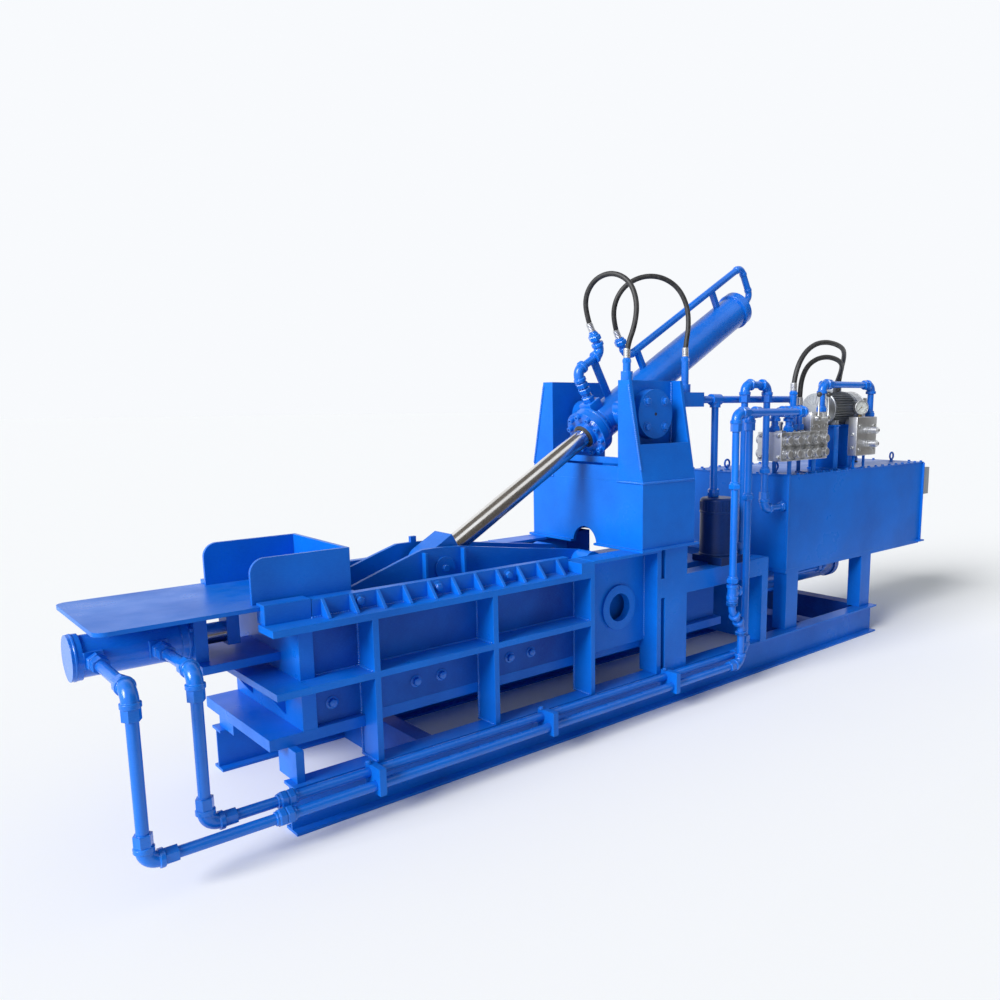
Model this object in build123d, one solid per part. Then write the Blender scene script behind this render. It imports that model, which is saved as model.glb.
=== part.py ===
from build123d import *
from math import atan2, cos, degrees, hypot, radians, sin, tan
import os

# Scrap baling press with a hinged lid, a lid lock, a main ram and a tank on a common base.
# Lengths in millimetres. While it is drawn, X runs along the press from the base's front
# end, Y = 0 is the centre line with the pipes on the -Y side, and Z = 0 is the floor.
# Everything is written relative to the underside of the front cross-member's middle.

# Fits between pieces
RUNNING_GAP = 2.0
PIN_GAP = 0.3
PIPE_FIT = 0.3

# Base frame
BASE_LENGTH = 4400.0
BEAM_HEIGHT = 200.0
BEAM_WIDTH = 100.0
BEAM_FLANGE = 12.0
BEAM_WEB = 8.0
BASE_HALF_WIDTH = 450.0
CROSS_WALL = 8.0
FRONT_CROSS_X = 602.0
FRONT_CROSS_WIDTH = 78.0
MID_CROSS_X = 3580.0
MID_CROSS_WIDTH = 140.0
REAR_CROSS_WIDTH = 110.0

# Baling chamber
CHAMBER_X = 152.0
END_WALL_THICKNESS = 60.0
END_WALL_HALF_WIDTH = 350.0
WALL_OUTER = 320.0
WALL_THICKNESS = 30.0
LINER_THICKNESS = 10.0
FLOOR_TOP = 376.0
FLOOR_THICKNESS = 47.0
LEDGE_X = -47.0
FLOOR_REAR_X = 2760.0
WALL_TOP = 805.0
FLOOR_FOOT_X = 25.0
FLOOR_FOOT_THICKNESS = 33.0
FLOOR_FOOT_INNER = 250.0
FLOOR_FOOT_OUTER = 420.0

# Ribs round the chamber
RIB_THICKNESS = 28.0
MID_RIB_Z = 559.0
RIB_START_X = -45.0
UPRIGHT_THICKNESS = 27.0
UPRIGHT_PITCH = 600.0
FIRST_UPRIGHT_X = 362.0
UPRIGHT_COUNT = 3

# Shear bars on the chamber's top ribs
BAR_INNER = 310.0
BAR_THICKNESS = 40.0
BAR_HEIGHT = 72.0
BAR_CLEAR_OF_WALL = 3.0
BAR_LENGTH = 1345.0
GUSSET_THICKNESS = 14.0
GUSSET_REACH = 65.0
GUSSET_FIRST_X = 194.0
GUSSET_PITCH = 122.5
GUSSET_COUNT = 11
STEP_BLOCK_HEIGHT = 52.0

# Fasteners
BOLT_HEAD = 34.0
BOLT_HEAD_HEIGHT = 14.0
WALL_BOLT_Z = 456.0
WALL_BOLT_XS = (232.0, 628.0, 759.0, 1146.0, 1276.0)
BAR_BOLT_XS = (359.0, 737.0, 1123.0)

# Hinge plates behind the chamber
HINGE_PLATE_THICKNESS = 30.0
POST_X = 2047.0
POST_THICKNESS = 32.0
RING_X = 1849.0
RING_Z = 592.0
RING_RADIUS = 120.0
RING_BORE = 75.0
RING_STAND_OUT = 14.0
TOP_PLATE_THICKNESS = 15.0

# Lid lock: a tray with a guard, on guides, moved by its own cylinder
TRAY_FRONT_X = -600.0
TRAY_REAR_X = 370.0
TRAY_THICKNESS = 16.0
TRAY_CORNER = 45.0
TRAY_Z = 884.0
GUARD_THICKNESS = 16.0
GUARD_HALF_WIDTH = 265.0
GUARD_HEIGHT = 180.0
GUARD_CORNER = 60.0
GUIDE_START_X = -33.0
GUIDE_LENGTH = 186.0
GUIDE_INNER = 275.0
GUIDE_LIP = 10.0
LOCK_AXIS_Z = 752.0
LOCK_BARREL_DIAMETER = 160.0
LOCK_CAP_DIAMETER = 176.0
LOCK_CAP_LENGTH = 38.0
LOCK_FRONT_X = -630.0
LOCK_PLATE_X = -215.0
LOCK_PLATE_THICKNESS = 50.0
LOCK_PLATE_HALF_WIDTH = 100.0
LOCK_PLATE_Z = 620.0
LOCK_PLATE_TOP = 835.0
LOCK_SHELF_Z = 634.0
LOCK_SHELF_THICKNESS = 34.0
LOCK_SHELF_HALF_WIDTH = 170.0
LOCK_ROD_DIAMETER = 85.0
LOCK_LUG_X = -70.0
LOCK_LUG_LENGTH = 50.0
LOCK_LUG_HALF_WIDTH = 45.0
LOCK_LUG_DROP = 50.0
LOCK_STROKE = 90.0
PORT_SINK = 20.0

# Lid and its hinge
LID_PLATE_Z = 740.0
LID_PLATE_THICKNESS = 25.0
LID_HALF_WIDTH = 265.0
LID_NOSE_X = 385.0
LID_REAR_X = 1650.0
LID_WEB_INNER = 105.0
LID_WEB_THICKNESS = 20.0
LID_BOSS_RADIUS = 60.0
LID_SHAFT_DIAMETER = 80.0
LID_SHAFT_SEAT = 20.0
LID_STIFFENER_THICKNESS = 12.0
LID_STIFFENER_WIDTH = 30.0
LID_STIFFENER_XS = (800.0, 1013.0)
LID_TAB_X = 880.0
LID_TAB_LENGTH = 30.0
LID_TAB_RISE = 28.0
LID_TAB_SINK = 8.0
LID_WEB_NOSE_Z = 860.0
LID_WEB_TOP = 998.0
LID_WEB_RISE = (685.0, 961.0)
LID_WEB_CREST_XS = (802.0, 900.0)
LID_WEB_FALL = ((1013.0, 992.0), (1376.0, 939.0))
LID_STIFFENER_TOP = 985.0
HINGE_HEIGHT = 825.0

# Lid cylinder
TRUNNION_Z = 1604.0
ROD_PIN_X = 921.0
ROD_PIN_Z = 898.0
ROD_PIN_DIAMETER = 60.0
ROD_PIN_CAP_RADIUS = 55.0
ROD_PIN_CAP = 8.0
ROD_DIAMETER = 100.0
ROD_HEAD_RADIUS = 88.0
ROD_HEAD_LENGTH = 142.0
ROD_HEAD_HALF_WIDTH = 75.0
ROD_END_INSIDE = 60.0
PISTON_LENGTH = 60.0
BARREL_DIAMETER = 200.0
BARREL_BORE = 140.0
BARREL_TAIL = 1300.0
BARREL_NOSE = 175.0
BARREL_CAP = 60.0
GLAND_RADIUS = 135.0
GLAND_THICKNESS = 45.0
GLAND_SCREWS = 10
GLAND_SCREW_RADIUS = 112.0
GLAND_SCREW_HEAD = 26.0
TRUNNION_DIAMETER = 110.0
TRUNNION_COLLAR = 150.0
TRUNNION_SHOULDER = 20.0

# Tower that carries the lid cylinder
TOWER_X = 1930.0
TOWER_LENGTH = 414.0
TOWER_FLANGE_Z = 887.0
TOWER_FLANGE = 12.0
TOWER_FLANGE_MARGIN = 20.0
TOWER_BOX_TOP = 1250.0
TOWER_BOX_HALF_WIDTH = 451.0
TOWER_WALL = 20.0
TOWER_ARCH_RADIUS = 95.0
TOWER_TOP = 1782.0
TOWER_SIDE_INNER = 266.0
TOWER_SIDE_THICKNESS = 20.0
TOWER_RIB_TOP_REACH = 347.0
TOWER_RIB_FOOT_REACH = 451.0
TOWER_PANEL_TOP = 1450.0
TOWER_CROSS_TOP = 1330.0
TIE_BAR_Z = 1338.0
TIE_BAR_HEIGHT = 34.0
TIE_BAR_X = 1985.0
TIE_BAR_DEPTH = 30.0
BEARING_RADIUS = 132.0
BEARING_FACE = 345.0
BEARING_SCREWS = 4
BEARING_SCREW_RADIUS = 96.0

# Ram and main cylinder
RAM_FRONT_X = 1600.0
RAM_LENGTH = 1140.0
RAM_HALF_WIDTH = 276.0
RAM_TOP = 735.0
RAM_WALL = 25.0
RAM_FACE = 40.0
RAM_STROKE = 1230.0
MAIN_AXIS_Z = 462.0
MAIN_ROD_DIAMETER = 110.0
MAIN_BARREL_DIAMETER = 200.0
MAIN_BORE = 160.0
MAIN_BARREL_LENGTH = 1380.0
MAIN_CAP = 50.0

# Frame round the main cylinder's head
REAR_FRAME_X = 2110.0
HEAD_PLATE_X = 2990.0
HEAD_PLATE_THICKNESS = 60.0
HEAD_PLATE_TOP = 725.0
REAR_BEAM_Z = 618.0
REAR_BEAM_INNER = 350.0
REAR_POST_LENGTH = 180.0
REAR_BOX_WALL = 12.0
REAR_POST_GAP = 31.0

# Oil tank on its stand
TANK_X = 3306.0
TANK_LENGTH = 1782.0
TANK_BOTTOM = 599.0
TANK_TOP = 1200.0
TANK_HALF_WIDTH = 403.0
TANK_WALL = 6.0
STAND_RAIL = 25.0
STAND_LEG_LENGTH = 130.0
STAND_REAR_LEG_X = 4240.0
STAND_FRONT_LEG_X = 3320.0
STAND_WALL = 8.0
FILLER_X = 4700.0
FILLER_DIAMETER = 120.0
FILLER_HEIGHT = 60.0
LIMIT_BOX_LENGTH = 112.0
LIMIT_BOX_WIDTH = 150.0
LIMIT_BOX_Z = 952.0
LIMIT_BOX_HEIGHT = 206.0

# Valves, pump and filter
VALVE_X = 3163.0
VALVE_LENGTH = 515.0
VALVE_Z = 1300.0
VALVE_TOP = 1480.0
VALVE_NEAR = -440.0
VALVE_FAR = -260.0
VALVE_SECTIONS = 5
VALVE_SECTION_GROOVE = 6.0
FOOT_LENGTH = 50.0
LEVER_BLOCK_X = 3480.0
LEVER_BLOCK_LENGTH = 198.0
LEVER_BLOCK_TOP = 1600.0
LEVER_PITCH = 110.0
LEVER_COUNT = 2
LEVER_PIVOT_Z = 1560.0
LEVER_DIAMETER = 14.0
LEVER_LENGTH = 150.0
LEVER_KNOB = 34.0
LEVER_STAND_OUT = 18.0
MOTOR_X = 3802.0
MOTOR_LENGTH = 436.0
MOTOR_DIAMETER = 236.0
MOTOR_AXIS_Y = -250.0
MOTOR_AXIS_Z = 1616.0
PUMP_LENGTH = 230.0
PUMP_DIAMETER = 150.0
MANIFOLD_X = 4034.0
MANIFOLD_LENGTH = 259.0
MANIFOLD_NEAR = -442.0
MANIFOLD_WIDTH = 68.0
MANIFOLD_Z = 1297.0
MANIFOLD_TOP = 1560.0
GAUGE_X = 4121.0
GAUGE_RADIUS = 50.0
GAUGE_DEPTH = 32.0
GAUGE_STEM = 16.0
GAUGE_RISE = 14.0
FILTER_X = 2690.0
FILTER_Y = -330.0
FILTER_DIAMETER = 200.0
FILTER_HEIGHT = 360.0
FILTER_PLATE = 15.0

# Pipes
PIPE_DIAMETER = 42.0
FITTING_DIAMETER = 64.0
FITTING_LENGTH = 46.0
BEND_RADIUS = 46.0
OUTER_PIPE_Y = -532.0
OUTER_PIPE_Z = 145.0
INNER_PIPE_Y = -480.0
INNER_PIPE_Z = 185.0
CLAMP_XS = (300.0, 1210.0, 2080.0)
CLAMP_WIDTH = 30.0
CLAMP_BAND = 16.0
TOWER_PIPE_Y = -300.0
TOWER_PIPE_Z = 1680.0
TOWER_BLOCK_LENGTH = 190.0
TOWER_BLOCK_Z = 1640.0
TOWER_BLOCK_HEIGHT = 80.0
TOWER_BLOCK_FAR = -216.0

# Hoses
TOWER_HOSE_DIAMETER = 28.0
TANK_HOSE_DIAMETER = 32.0

NEAR = -1
FAR = 1


# Shapes along the drawing's axes
def block(x0, x1, y0, y1, z0, z1):
    body = Box(abs(x1 - x0), abs(y1 - y0), abs(z1 - z0))
    return Pos((x0 + x1) / 2, (y0 + y1) / 2, (z0 + z1) / 2) * body


def side_block(side, x0, x1, inner, outer, z0, z1):
    return block(x0, x1, side * inner, side * outer, z0, z1)


def along_x(x0, x1, y, z, diameter):
    body = Cylinder(diameter / 2, abs(x1 - x0))
    return Pos((x0 + x1) / 2, y, z) * Rot(0, 90, 0) * body


def along_y(x, y0, y1, z, diameter):
    body = Cylinder(diameter / 2, abs(y1 - y0))
    return Pos(x, (y0 + y1) / 2, z) * Rot(90, 0, 0) * body


def along_z(x, y, z0, z1, diameter):
    return Pos(x, y, (z0 + z1) / 2) * Cylinder(diameter / 2, abs(z1 - z0))


def side_plate(points, y0, y1):
    # A plate standing along X, drawn by its X and Z corners
    low = min(y0, y1)
    face = Plane.XZ * make_face(Polyline(*points, close=True))
    return Pos(0, low, 0) * extrude(face, -abs(y1 - y0))


def cross_plate(points, x0, x1):
    # A plate standing along Y, drawn by its Y and Z corners
    face = Plane.YZ * make_face(Polyline(*points, close=True))
    return Pos(x0, 0, 0) * extrude(face, x1 - x0)


def open_box(x0, x1, y0, y1, z0, z1, wall):
    # A tube of rectangular section standing on end
    return block(x0, x1, y0, y1, z0, z1) - block(x0 + wall, x1 - wall, y0 + wall, y1 - wall, z0, z1)


def hex_head_y(x, y, z, side, across=BOLT_HEAD, height=BOLT_HEAD_HEIGHT):
    # A hexagon head that stands out from a face at y
    face = Pos(x, y, z) * Rot(90, 0, 0) * RegularPolygon(across / 2, 6)
    return extrude(face, -side * height)


def pipe(points, diameter=PIPE_DIAMETER, bend=BEND_RADIUS):
    route = FilletPolyline(*points, radius=bend)
    start = Plane(origin=route @ 0, z_dir=route % 0)
    return sweep(start * Circle(diameter / 2), path=route)


def fitting(start, end, at, diameter=FITTING_DIAMETER, length=FITTING_LENGTH):
    # A union nut round the straight run from start to end, begun at a distance from start
    first = Vector(*start)
    direction = (Vector(*end) - first).normalized()
    seat = Plane(origin=first + direction * at, z_dir=direction)
    return extrude(seat * RegularPolygon(diameter / 2, 6), length)


def hose(points, diameter):
    # A tube of straight runs joined by the largest arcs that its runs allow
    stops = [Vector(*point) for point in points]
    runs = [stops[i + 1] - stops[i] for i in range(len(stops) - 1)]
    radii = []
    for before, after in zip(runs, runs[1:]):
        turn = radians(before.get_angle(after))
        radii.append(0.45 * min(before.length, after.length) / tan(turn / 2))
    route = FilletPolyline(*points, radius=radii)
    start = Plane(origin=route @ 0, z_dir=route % 0)
    return sweep(start * Circle(diameter / 2), path=route), radii


# Places that several pieces share
TRUNNION_X = TOWER_X + TOWER_LENGTH / 2
TOWER_REAR_X = TOWER_X + TOWER_LENGTH
RIB_TOP = WALL_TOP + RIB_THICKNESS
WALL_INNER = WALL_OUTER - WALL_THICKNESS
LAST_UPRIGHT_X = FIRST_UPRIGHT_X + (UPRIGHT_COUNT - 1) * UPRIGHT_PITCH
WALL_REAR_X = LAST_UPRIGHT_X + UPRIGHT_THICKNESS
END_WALL_X = CHAMBER_X - END_WALL_THICKNESS
FLOOR_BOTTOM = FLOOR_TOP - FLOOR_THICKNESS
BAR_OUTER = BAR_INNER + BAR_THICKNESS
BAR_X = GUIDE_START_X + GUIDE_LENGTH + BAR_CLEAR_OF_WALL
BAR_END_X = BAR_X + BAR_LENGTH
BEAM_INNER = BASE_HALF_WIDTH - BEAM_WIDTH
BAR_TOP = RIB_TOP + BAR_HEIGHT
TRAY_TOP = TRAY_Z + TRAY_THICKNESS
TRAY_HALF_WIDTH = BAR_INNER - RUNNING_GAP
TOP_PLATE_Z = TOWER_FLANGE_Z - TOP_PLATE_THICKNESS
LOCK_LUG_REAR_X = LOCK_LUG_X + LOCK_LUG_LENGTH

# The lid's hinge is as far from the rod's pin as from the trunnion, so that the cylinder
# turns by half the lid's angle.
SPAN_X = TRUNNION_X - ROD_PIN_X
SPAN_Z = TRUNNION_Z - ROD_PIN_Z
CYLINDER_LENGTH = hypot(SPAN_X, SPAN_Z)
CYLINDER_ANGLE = degrees(atan2(SPAN_Z, SPAN_X))
HALF_SPAN_Z = (TRUNNION_Z + ROD_PIN_Z) / 2
HINGE_X = (TRUNNION_X + ROD_PIN_X) / 2 + (HALF_SPAN_Z - HINGE_HEIGHT) * SPAN_Z / SPAN_X
HINGE_Z = HINGE_HEIGHT
LID_RANGE = 60.0

# Frame of the lid cylinder: its own x runs from the trunnion away from the lid, z is up
CYLINDER_FRAME = Pos(TRUNNION_X, 0, TRUNNION_Z) * Rot(0, -CYLINDER_ANGLE, 0)


def on_cylinder(u, v, y=0.0):
    # The drawing's place of a point u along the lid cylinder and v above its axis
    angle = radians(CYLINDER_ANGLE)
    x = TRUNNION_X + u * cos(angle) - v * sin(angle)
    z = TRUNNION_Z + u * sin(angle) + v * cos(angle)
    return (x, y, z)


def base_beam(side):
    inner = side * BEAM_INNER
    outer = side * BASE_HALF_WIDTH
    middle = (inner + outer) / 2
    beam = block(0, BASE_LENGTH, inner, outer, 0, BEAM_FLANGE)
    beam += block(0, BASE_LENGTH, inner, outer, BEAM_HEIGHT - BEAM_FLANGE, BEAM_HEIGHT)
    beam += block(0, BASE_LENGTH, middle - BEAM_WEB / 2, middle + BEAM_WEB / 2, 0, BEAM_HEIGHT)
    return beam


def base_cross(x, width):
    outer = block(x, x + width, -BEAM_INNER, BEAM_INNER, 0, BEAM_HEIGHT)
    hollow = block(x + CROSS_WALL, x + width - CROSS_WALL, -BEAM_INNER, BEAM_INNER,
                   CROSS_WALL, BEAM_HEIGHT - CROSS_WALL)
    return outer - hollow


def chamber_floor():
    floor = block(LEDGE_X, FIRST_UPRIGHT_X, -END_WALL_HALF_WIDTH, END_WALL_HALF_WIDTH,
                  FLOOR_BOTTOM, FLOOR_TOP)
    floor += block(FIRST_UPRIGHT_X, FLOOR_REAR_X, -WALL_OUTER, WALL_OUTER, FLOOR_BOTTOM, FLOOR_TOP)
    for side in (NEAR, FAR):
        floor += side_block(side, FLOOR_FOOT_X, FLOOR_FOOT_X + FLOOR_FOOT_THICKNESS,
                            FLOOR_FOOT_INNER, FLOOR_FOOT_OUTER, BEAM_HEIGHT, FLOOR_BOTTOM)
    return floor


def end_wall():
    wall = block(END_WALL_X, CHAMBER_X, -END_WALL_HALF_WIDTH, END_WALL_HALF_WIDTH,
                 FLOOR_TOP, WALL_TOP)
    shelf = block(RIB_START_X, END_WALL_X, -BASE_HALF_WIDTH, BASE_HALF_WIDTH,
                  MID_RIB_Z, MID_RIB_Z + RIB_THICKNESS)
    for side in (NEAR, FAR):
        middle = side * END_WALL_HALF_WIDTH / 2
        wall += side_plate([(RIB_START_X + RIB_THICKNESS, MID_RIB_Z), (END_WALL_X, MID_RIB_Z),
                            (END_WALL_X, FLOOR_TOP + RIB_THICKNESS)],
                           middle - RIB_THICKNESS / 2, middle + RIB_THICKNESS / 2)
    return wall + shelf


def side_wall(side):
    wall = side_block(side, CHAMBER_X, WALL_REAR_X, WALL_INNER, WALL_OUTER, FLOOR_TOP, WALL_TOP)
    return wall + side_block(side, CHAMBER_X, WALL_REAR_X, WALL_INNER - LINER_THICKNESS,
                             WALL_INNER, FLOOR_TOP, WALL_TOP)


def rib_frame(side):
    mid_top = MID_RIB_Z + RIB_THICKNESS
    frame = side_block(side, END_WALL_X, WALL_REAR_X, END_WALL_HALF_WIDTH, BASE_HALF_WIDTH,
                       MID_RIB_Z, mid_top)
    frame += side_block(side, CHAMBER_X, WALL_REAR_X, WALL_OUTER, BASE_HALF_WIDTH,
                        MID_RIB_Z, mid_top)
    frame += side_block(side, RIB_START_X, WALL_REAR_X, BAR_INNER, BASE_HALF_WIDTH,
                        WALL_TOP, RIB_TOP)
    for index in range(UPRIGHT_COUNT):
        x = FIRST_UPRIGHT_X + index * UPRIGHT_PITCH
        frame += side_block(side, x, x + UPRIGHT_THICKNESS, WALL_OUTER, BASE_HALF_WIDTH,
                            BEAM_HEIGHT, WALL_TOP)
    return frame


def shear_bar(side):
    bar = side_block(side, BAR_X, BAR_END_X, BAR_INNER, BAR_OUTER, RIB_TOP, BAR_TOP)
    for index in range(GUSSET_COUNT):
        x = GUSSET_FIRST_X + index * GUSSET_PITCH
        corners = [(side * BAR_OUTER, RIB_TOP), (side * (BAR_OUTER + GUSSET_REACH), RIB_TOP),
                   (side * BAR_OUTER, BAR_TOP)]
        bar += cross_plate(corners, x, x + GUSSET_THICKNESS)
    return bar


def frame_bolts():
    bolts = []
    for side in (NEAR, FAR):
        for x in WALL_BOLT_XS:
            bolts.append(hex_head_y(x, side * WALL_OUTER, WALL_BOLT_Z, side))
        for x in BAR_BOLT_XS:
            middle = (RIB_TOP + BAR_TOP) / 2
            bolts.append(hex_head_y(x, side * BAR_OUTER, middle, side))
        for index in range(BEARING_SCREWS):
            angle = radians(45 + index * 360 / BEARING_SCREWS)
            x = TRUNNION_X + BEARING_SCREW_RADIUS * cos(angle)
            z = TRUNNION_Z + BEARING_SCREW_RADIUS * sin(angle)
            bolts.append(hex_head_y(x, side * BEARING_FACE, z, side))
    return bolts


def hinge_plate(side):
    outer = WALL_OUTER + HINGE_PLATE_THICKNESS
    plate = side_block(side, WALL_REAR_X, POST_X, WALL_OUTER, outer, FLOOR_TOP, TOP_PLATE_Z)
    plate += side_block(side, POST_X, POST_X + POST_THICKNESS, WALL_OUTER, BASE_HALF_WIDTH,
                        BEAM_HEIGHT, TOP_PLATE_Z)
    plate += side_block(side, WALL_REAR_X, POST_X + POST_THICKNESS, BAR_INNER, BASE_HALF_WIDTH,
                        TOP_PLATE_Z, TOWER_FLANGE_Z)
    plate += side_block(side, BAR_END_X, WALL_REAR_X, BAR_INNER, BASE_HALF_WIDTH,
                        RIB_TOP, RIB_TOP + STEP_BLOCK_HEIGHT)
    ring = along_y(RING_X, side * outer, side * (outer + RING_STAND_OUT), RING_Z, 2 * RING_RADIUS)
    bore = along_y(RING_X, side * WALL_OUTER, side * (outer + RING_STAND_OUT), RING_Z, 2 * RING_BORE)
    seat = along_y(HINGE_X, side * WALL_OUTER, side * (WALL_OUTER + LID_SHAFT_SEAT), HINGE_Z,
                   LID_SHAFT_DIAMETER)
    return plate + ring - bore - seat


def lid_shaft():
    reach = WALL_OUTER + LID_SHAFT_SEAT
    return along_y(HINGE_X, -reach, reach, HINGE_Z, LID_SHAFT_DIAMETER)


def lock_guide(side):
    rear = GUIDE_START_X + GUIDE_LENGTH
    top = TRAY_TOP + RUNNING_GAP / 2 + GUIDE_LIP
    guide = side_block(side, GUIDE_START_X, rear, BAR_INNER, BAR_OUTER, RIB_TOP, top)
    guide += side_block(side, GUIDE_START_X, rear, GUIDE_INNER, BAR_INNER,
                        RIB_TOP, TRAY_Z - RUNNING_GAP / 2)
    return guide + side_block(side, GUIDE_START_X, rear, GUIDE_INNER, BAR_INNER,
                              TRAY_TOP + RUNNING_GAP / 2, top)


def lock_tray():
    outline = Pos((TRAY_FRONT_X + TRAY_REAR_X) / 2, 0, TRAY_Z) * Box(
        TRAY_REAR_X - TRAY_FRONT_X, 2 * TRAY_HALF_WIDTH, TRAY_THICKNESS,
        align=(Align.CENTER, Align.CENTER, Align.MIN))
    corners = outline.edges().filter_by(Axis.Z).group_by(Axis.X)[0]
    tray = fillet(corners, TRAY_CORNER)
    lug = block(LOCK_LUG_X, LOCK_LUG_REAR_X, -LOCK_LUG_HALF_WIDTH, LOCK_LUG_HALF_WIDTH,
                LOCK_AXIS_Z - LOCK_LUG_DROP, TRAY_Z)
    return tray + lug


def lock_guard():
    top = TRAY_TOP + GUARD_HEIGHT
    guard = block(TRAY_REAR_X - GUARD_THICKNESS, TRAY_REAR_X, -GUARD_HALF_WIDTH, GUARD_HALF_WIDTH,
                  TRAY_TOP, top)
    for side in (NEAR, FAR):
        plate = side_block(side, RIB_START_X, TRAY_REAR_X, GUARD_HALF_WIDTH - GUARD_THICKNESS,
                           GUARD_HALF_WIDTH, TRAY_TOP, top)
        corner = plate.edges().filter_by(Axis.Y).group_by(Axis.Z)[-1].group_by(Axis.X)[0]
        guard += fillet(corner, GUARD_CORNER)
    return guard


def lock_cylinder():
    bore_end = LOCK_FRONT_X + LOCK_CAP_LENGTH
    head_start = LOCK_PLATE_X - LOCK_CAP_LENGTH
    body = along_x(bore_end, head_start, 0, LOCK_AXIS_Z, LOCK_BARREL_DIAMETER)
    for x in LOCK_PIPE_XS:
        half = FITTING_DIAMETER / 2
        body += block(x - half, x + half, LOCK_PORT_Y, PORT_SINK - LOCK_BARREL_DIAMETER / 2,
                      LOCK_AXIS_Z - half, LOCK_AXIS_Z + half)
    body += along_x(LOCK_FRONT_X, bore_end, 0, LOCK_AXIS_Z, LOCK_CAP_DIAMETER)
    body += along_x(head_start, LOCK_PLATE_X, 0, LOCK_AXIS_Z, LOCK_CAP_DIAMETER)
    return body - along_x(bore_end, LOCK_PLATE_X, 0, LOCK_AXIS_Z, LOCK_ROD_DIAMETER + 2 * PIN_GAP)


def lock_mount():
    rear = LOCK_PLATE_X + LOCK_PLATE_THICKNESS
    mount = block(LOCK_PLATE_X, rear, -LOCK_PLATE_HALF_WIDTH, LOCK_PLATE_HALF_WIDTH,
                  LOCK_PLATE_Z, LOCK_PLATE_TOP)
    mount += block(LOCK_PLATE_X, END_WALL_X, -LOCK_SHELF_HALF_WIDTH, LOCK_SHELF_HALF_WIDTH,
                   LOCK_SHELF_Z, LOCK_SHELF_Z + LOCK_SHELF_THICKNESS)
    return mount - along_x(LOCK_PLATE_X, rear, 0, LOCK_AXIS_Z, LOCK_ROD_DIAMETER + 2 * PIN_GAP)


def lock_rod():
    inner_end = LOCK_FRONT_X + LOCK_CAP_LENGTH + LOCK_STROKE + RUNNING_GAP
    return along_x(inner_end, LOCK_LUG_X, 0, LOCK_AXIS_Z, LOCK_ROD_DIAMETER)


def lid_plate():
    top = LID_PLATE_Z + LID_PLATE_THICKNESS
    plate = block(LID_NOSE_X, LID_REAR_X, -LID_HALF_WIDTH, LID_HALF_WIDTH, LID_PLATE_Z, top)
    web_gap = LID_WEB_INNER
    for x in LID_STIFFENER_XS:
        for side in (NEAR, FAR):
            outer = LID_WEB_INNER + LID_WEB_THICKNESS
            plate += cross_plate([(side * outer, top), (side * (LID_HALF_WIDTH - LID_STIFFENER_WIDTH), top),
                                  (side * outer, top + LID_PLATE_THICKNESS * 4)],
                                 x, x + LID_STIFFENER_THICKNESS)
    plate += block(LID_REAR_X - LID_PLATE_THICKNESS, LID_REAR_X, -web_gap, web_gap, top, HINGE_Z)
    return plate


def lid_web(side):
    outer = LID_WEB_INNER + LID_WEB_THICKNESS
    top = LID_PLATE_Z + LID_PLATE_THICKNESS
    crest = [(x, LID_WEB_TOP) for x in LID_WEB_CREST_XS]
    outline = [(LID_NOSE_X, top), (LID_NOSE_X, LID_WEB_NOSE_Z), LID_WEB_RISE, *crest, *LID_WEB_FALL,
               (HINGE_X, HINGE_Z + LID_BOSS_RADIUS), (HINGE_X, HINGE_Z - LID_BOSS_RADIUS),
               (LID_REAR_X, top)]
    web = side_plate(outline, side * LID_WEB_INNER, side * outer)
    web += along_y(HINGE_X, side * LID_WEB_INNER, side * (LID_HALF_WIDTH - LID_STIFFENER_WIDTH),
                   HINGE_Z, 2 * LID_BOSS_RADIUS)
    for x in LID_STIFFENER_XS:
        web += side_block(side, x, x + LID_STIFFENER_THICKNESS, outer, outer + LID_STIFFENER_WIDTH,
                          top + LID_PLATE_THICKNESS * 4, LID_STIFFENER_TOP)
    if side == FAR:
        web += side_block(side, LID_TAB_X, LID_TAB_X + LID_TAB_LENGTH, LID_WEB_INNER, outer,
                          LID_WEB_TOP - LID_TAB_SINK, LID_WEB_TOP + LID_TAB_RISE)
    web -= along_y(HINGE_X, side * LID_WEB_INNER, side * LID_HALF_WIDTH, HINGE_Z,
                   LID_SHAFT_DIAMETER + 2 * PIN_GAP)
    return web - along_y(ROD_PIN_X, side * LID_WEB_INNER, side * outer, ROD_PIN_Z, ROD_PIN_DIAMETER)


def lid_pin():
    outer = LID_WEB_INNER + LID_WEB_THICKNESS
    pin = along_y(ROD_PIN_X, -outer, outer, ROD_PIN_Z, ROD_PIN_DIAMETER)
    for side in (NEAR, FAR):
        pin += along_y(ROD_PIN_X, side * outer, side * (outer + ROD_PIN_CAP), ROD_PIN_Z,
                       2 * ROD_PIN_CAP_RADIUS)
        pin += hex_head_y(ROD_PIN_X, side * (outer + ROD_PIN_CAP), ROD_PIN_Z, side)
    return pin


def lid_rod_head():
    # The rod's end is a square head, round at the pin; u = 0 here is the pin
    width = 2 * ROD_HEAD_HALF_WIDTH
    head = Pos(ROD_HEAD_LENGTH / 2, 0, 0) * Box(ROD_HEAD_LENGTH, width, 2 * ROD_HEAD_RADIUS)
    head += Rot(90, 0, 0) * Cylinder(ROD_HEAD_RADIUS, width)
    head -= Rot(90, 0, 0) * Cylinder(ROD_PIN_DIAMETER / 2 + PIN_GAP, width)
    return CYLINDER_FRAME * Pos(-CYLINDER_LENGTH, 0, 0) * head


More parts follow.
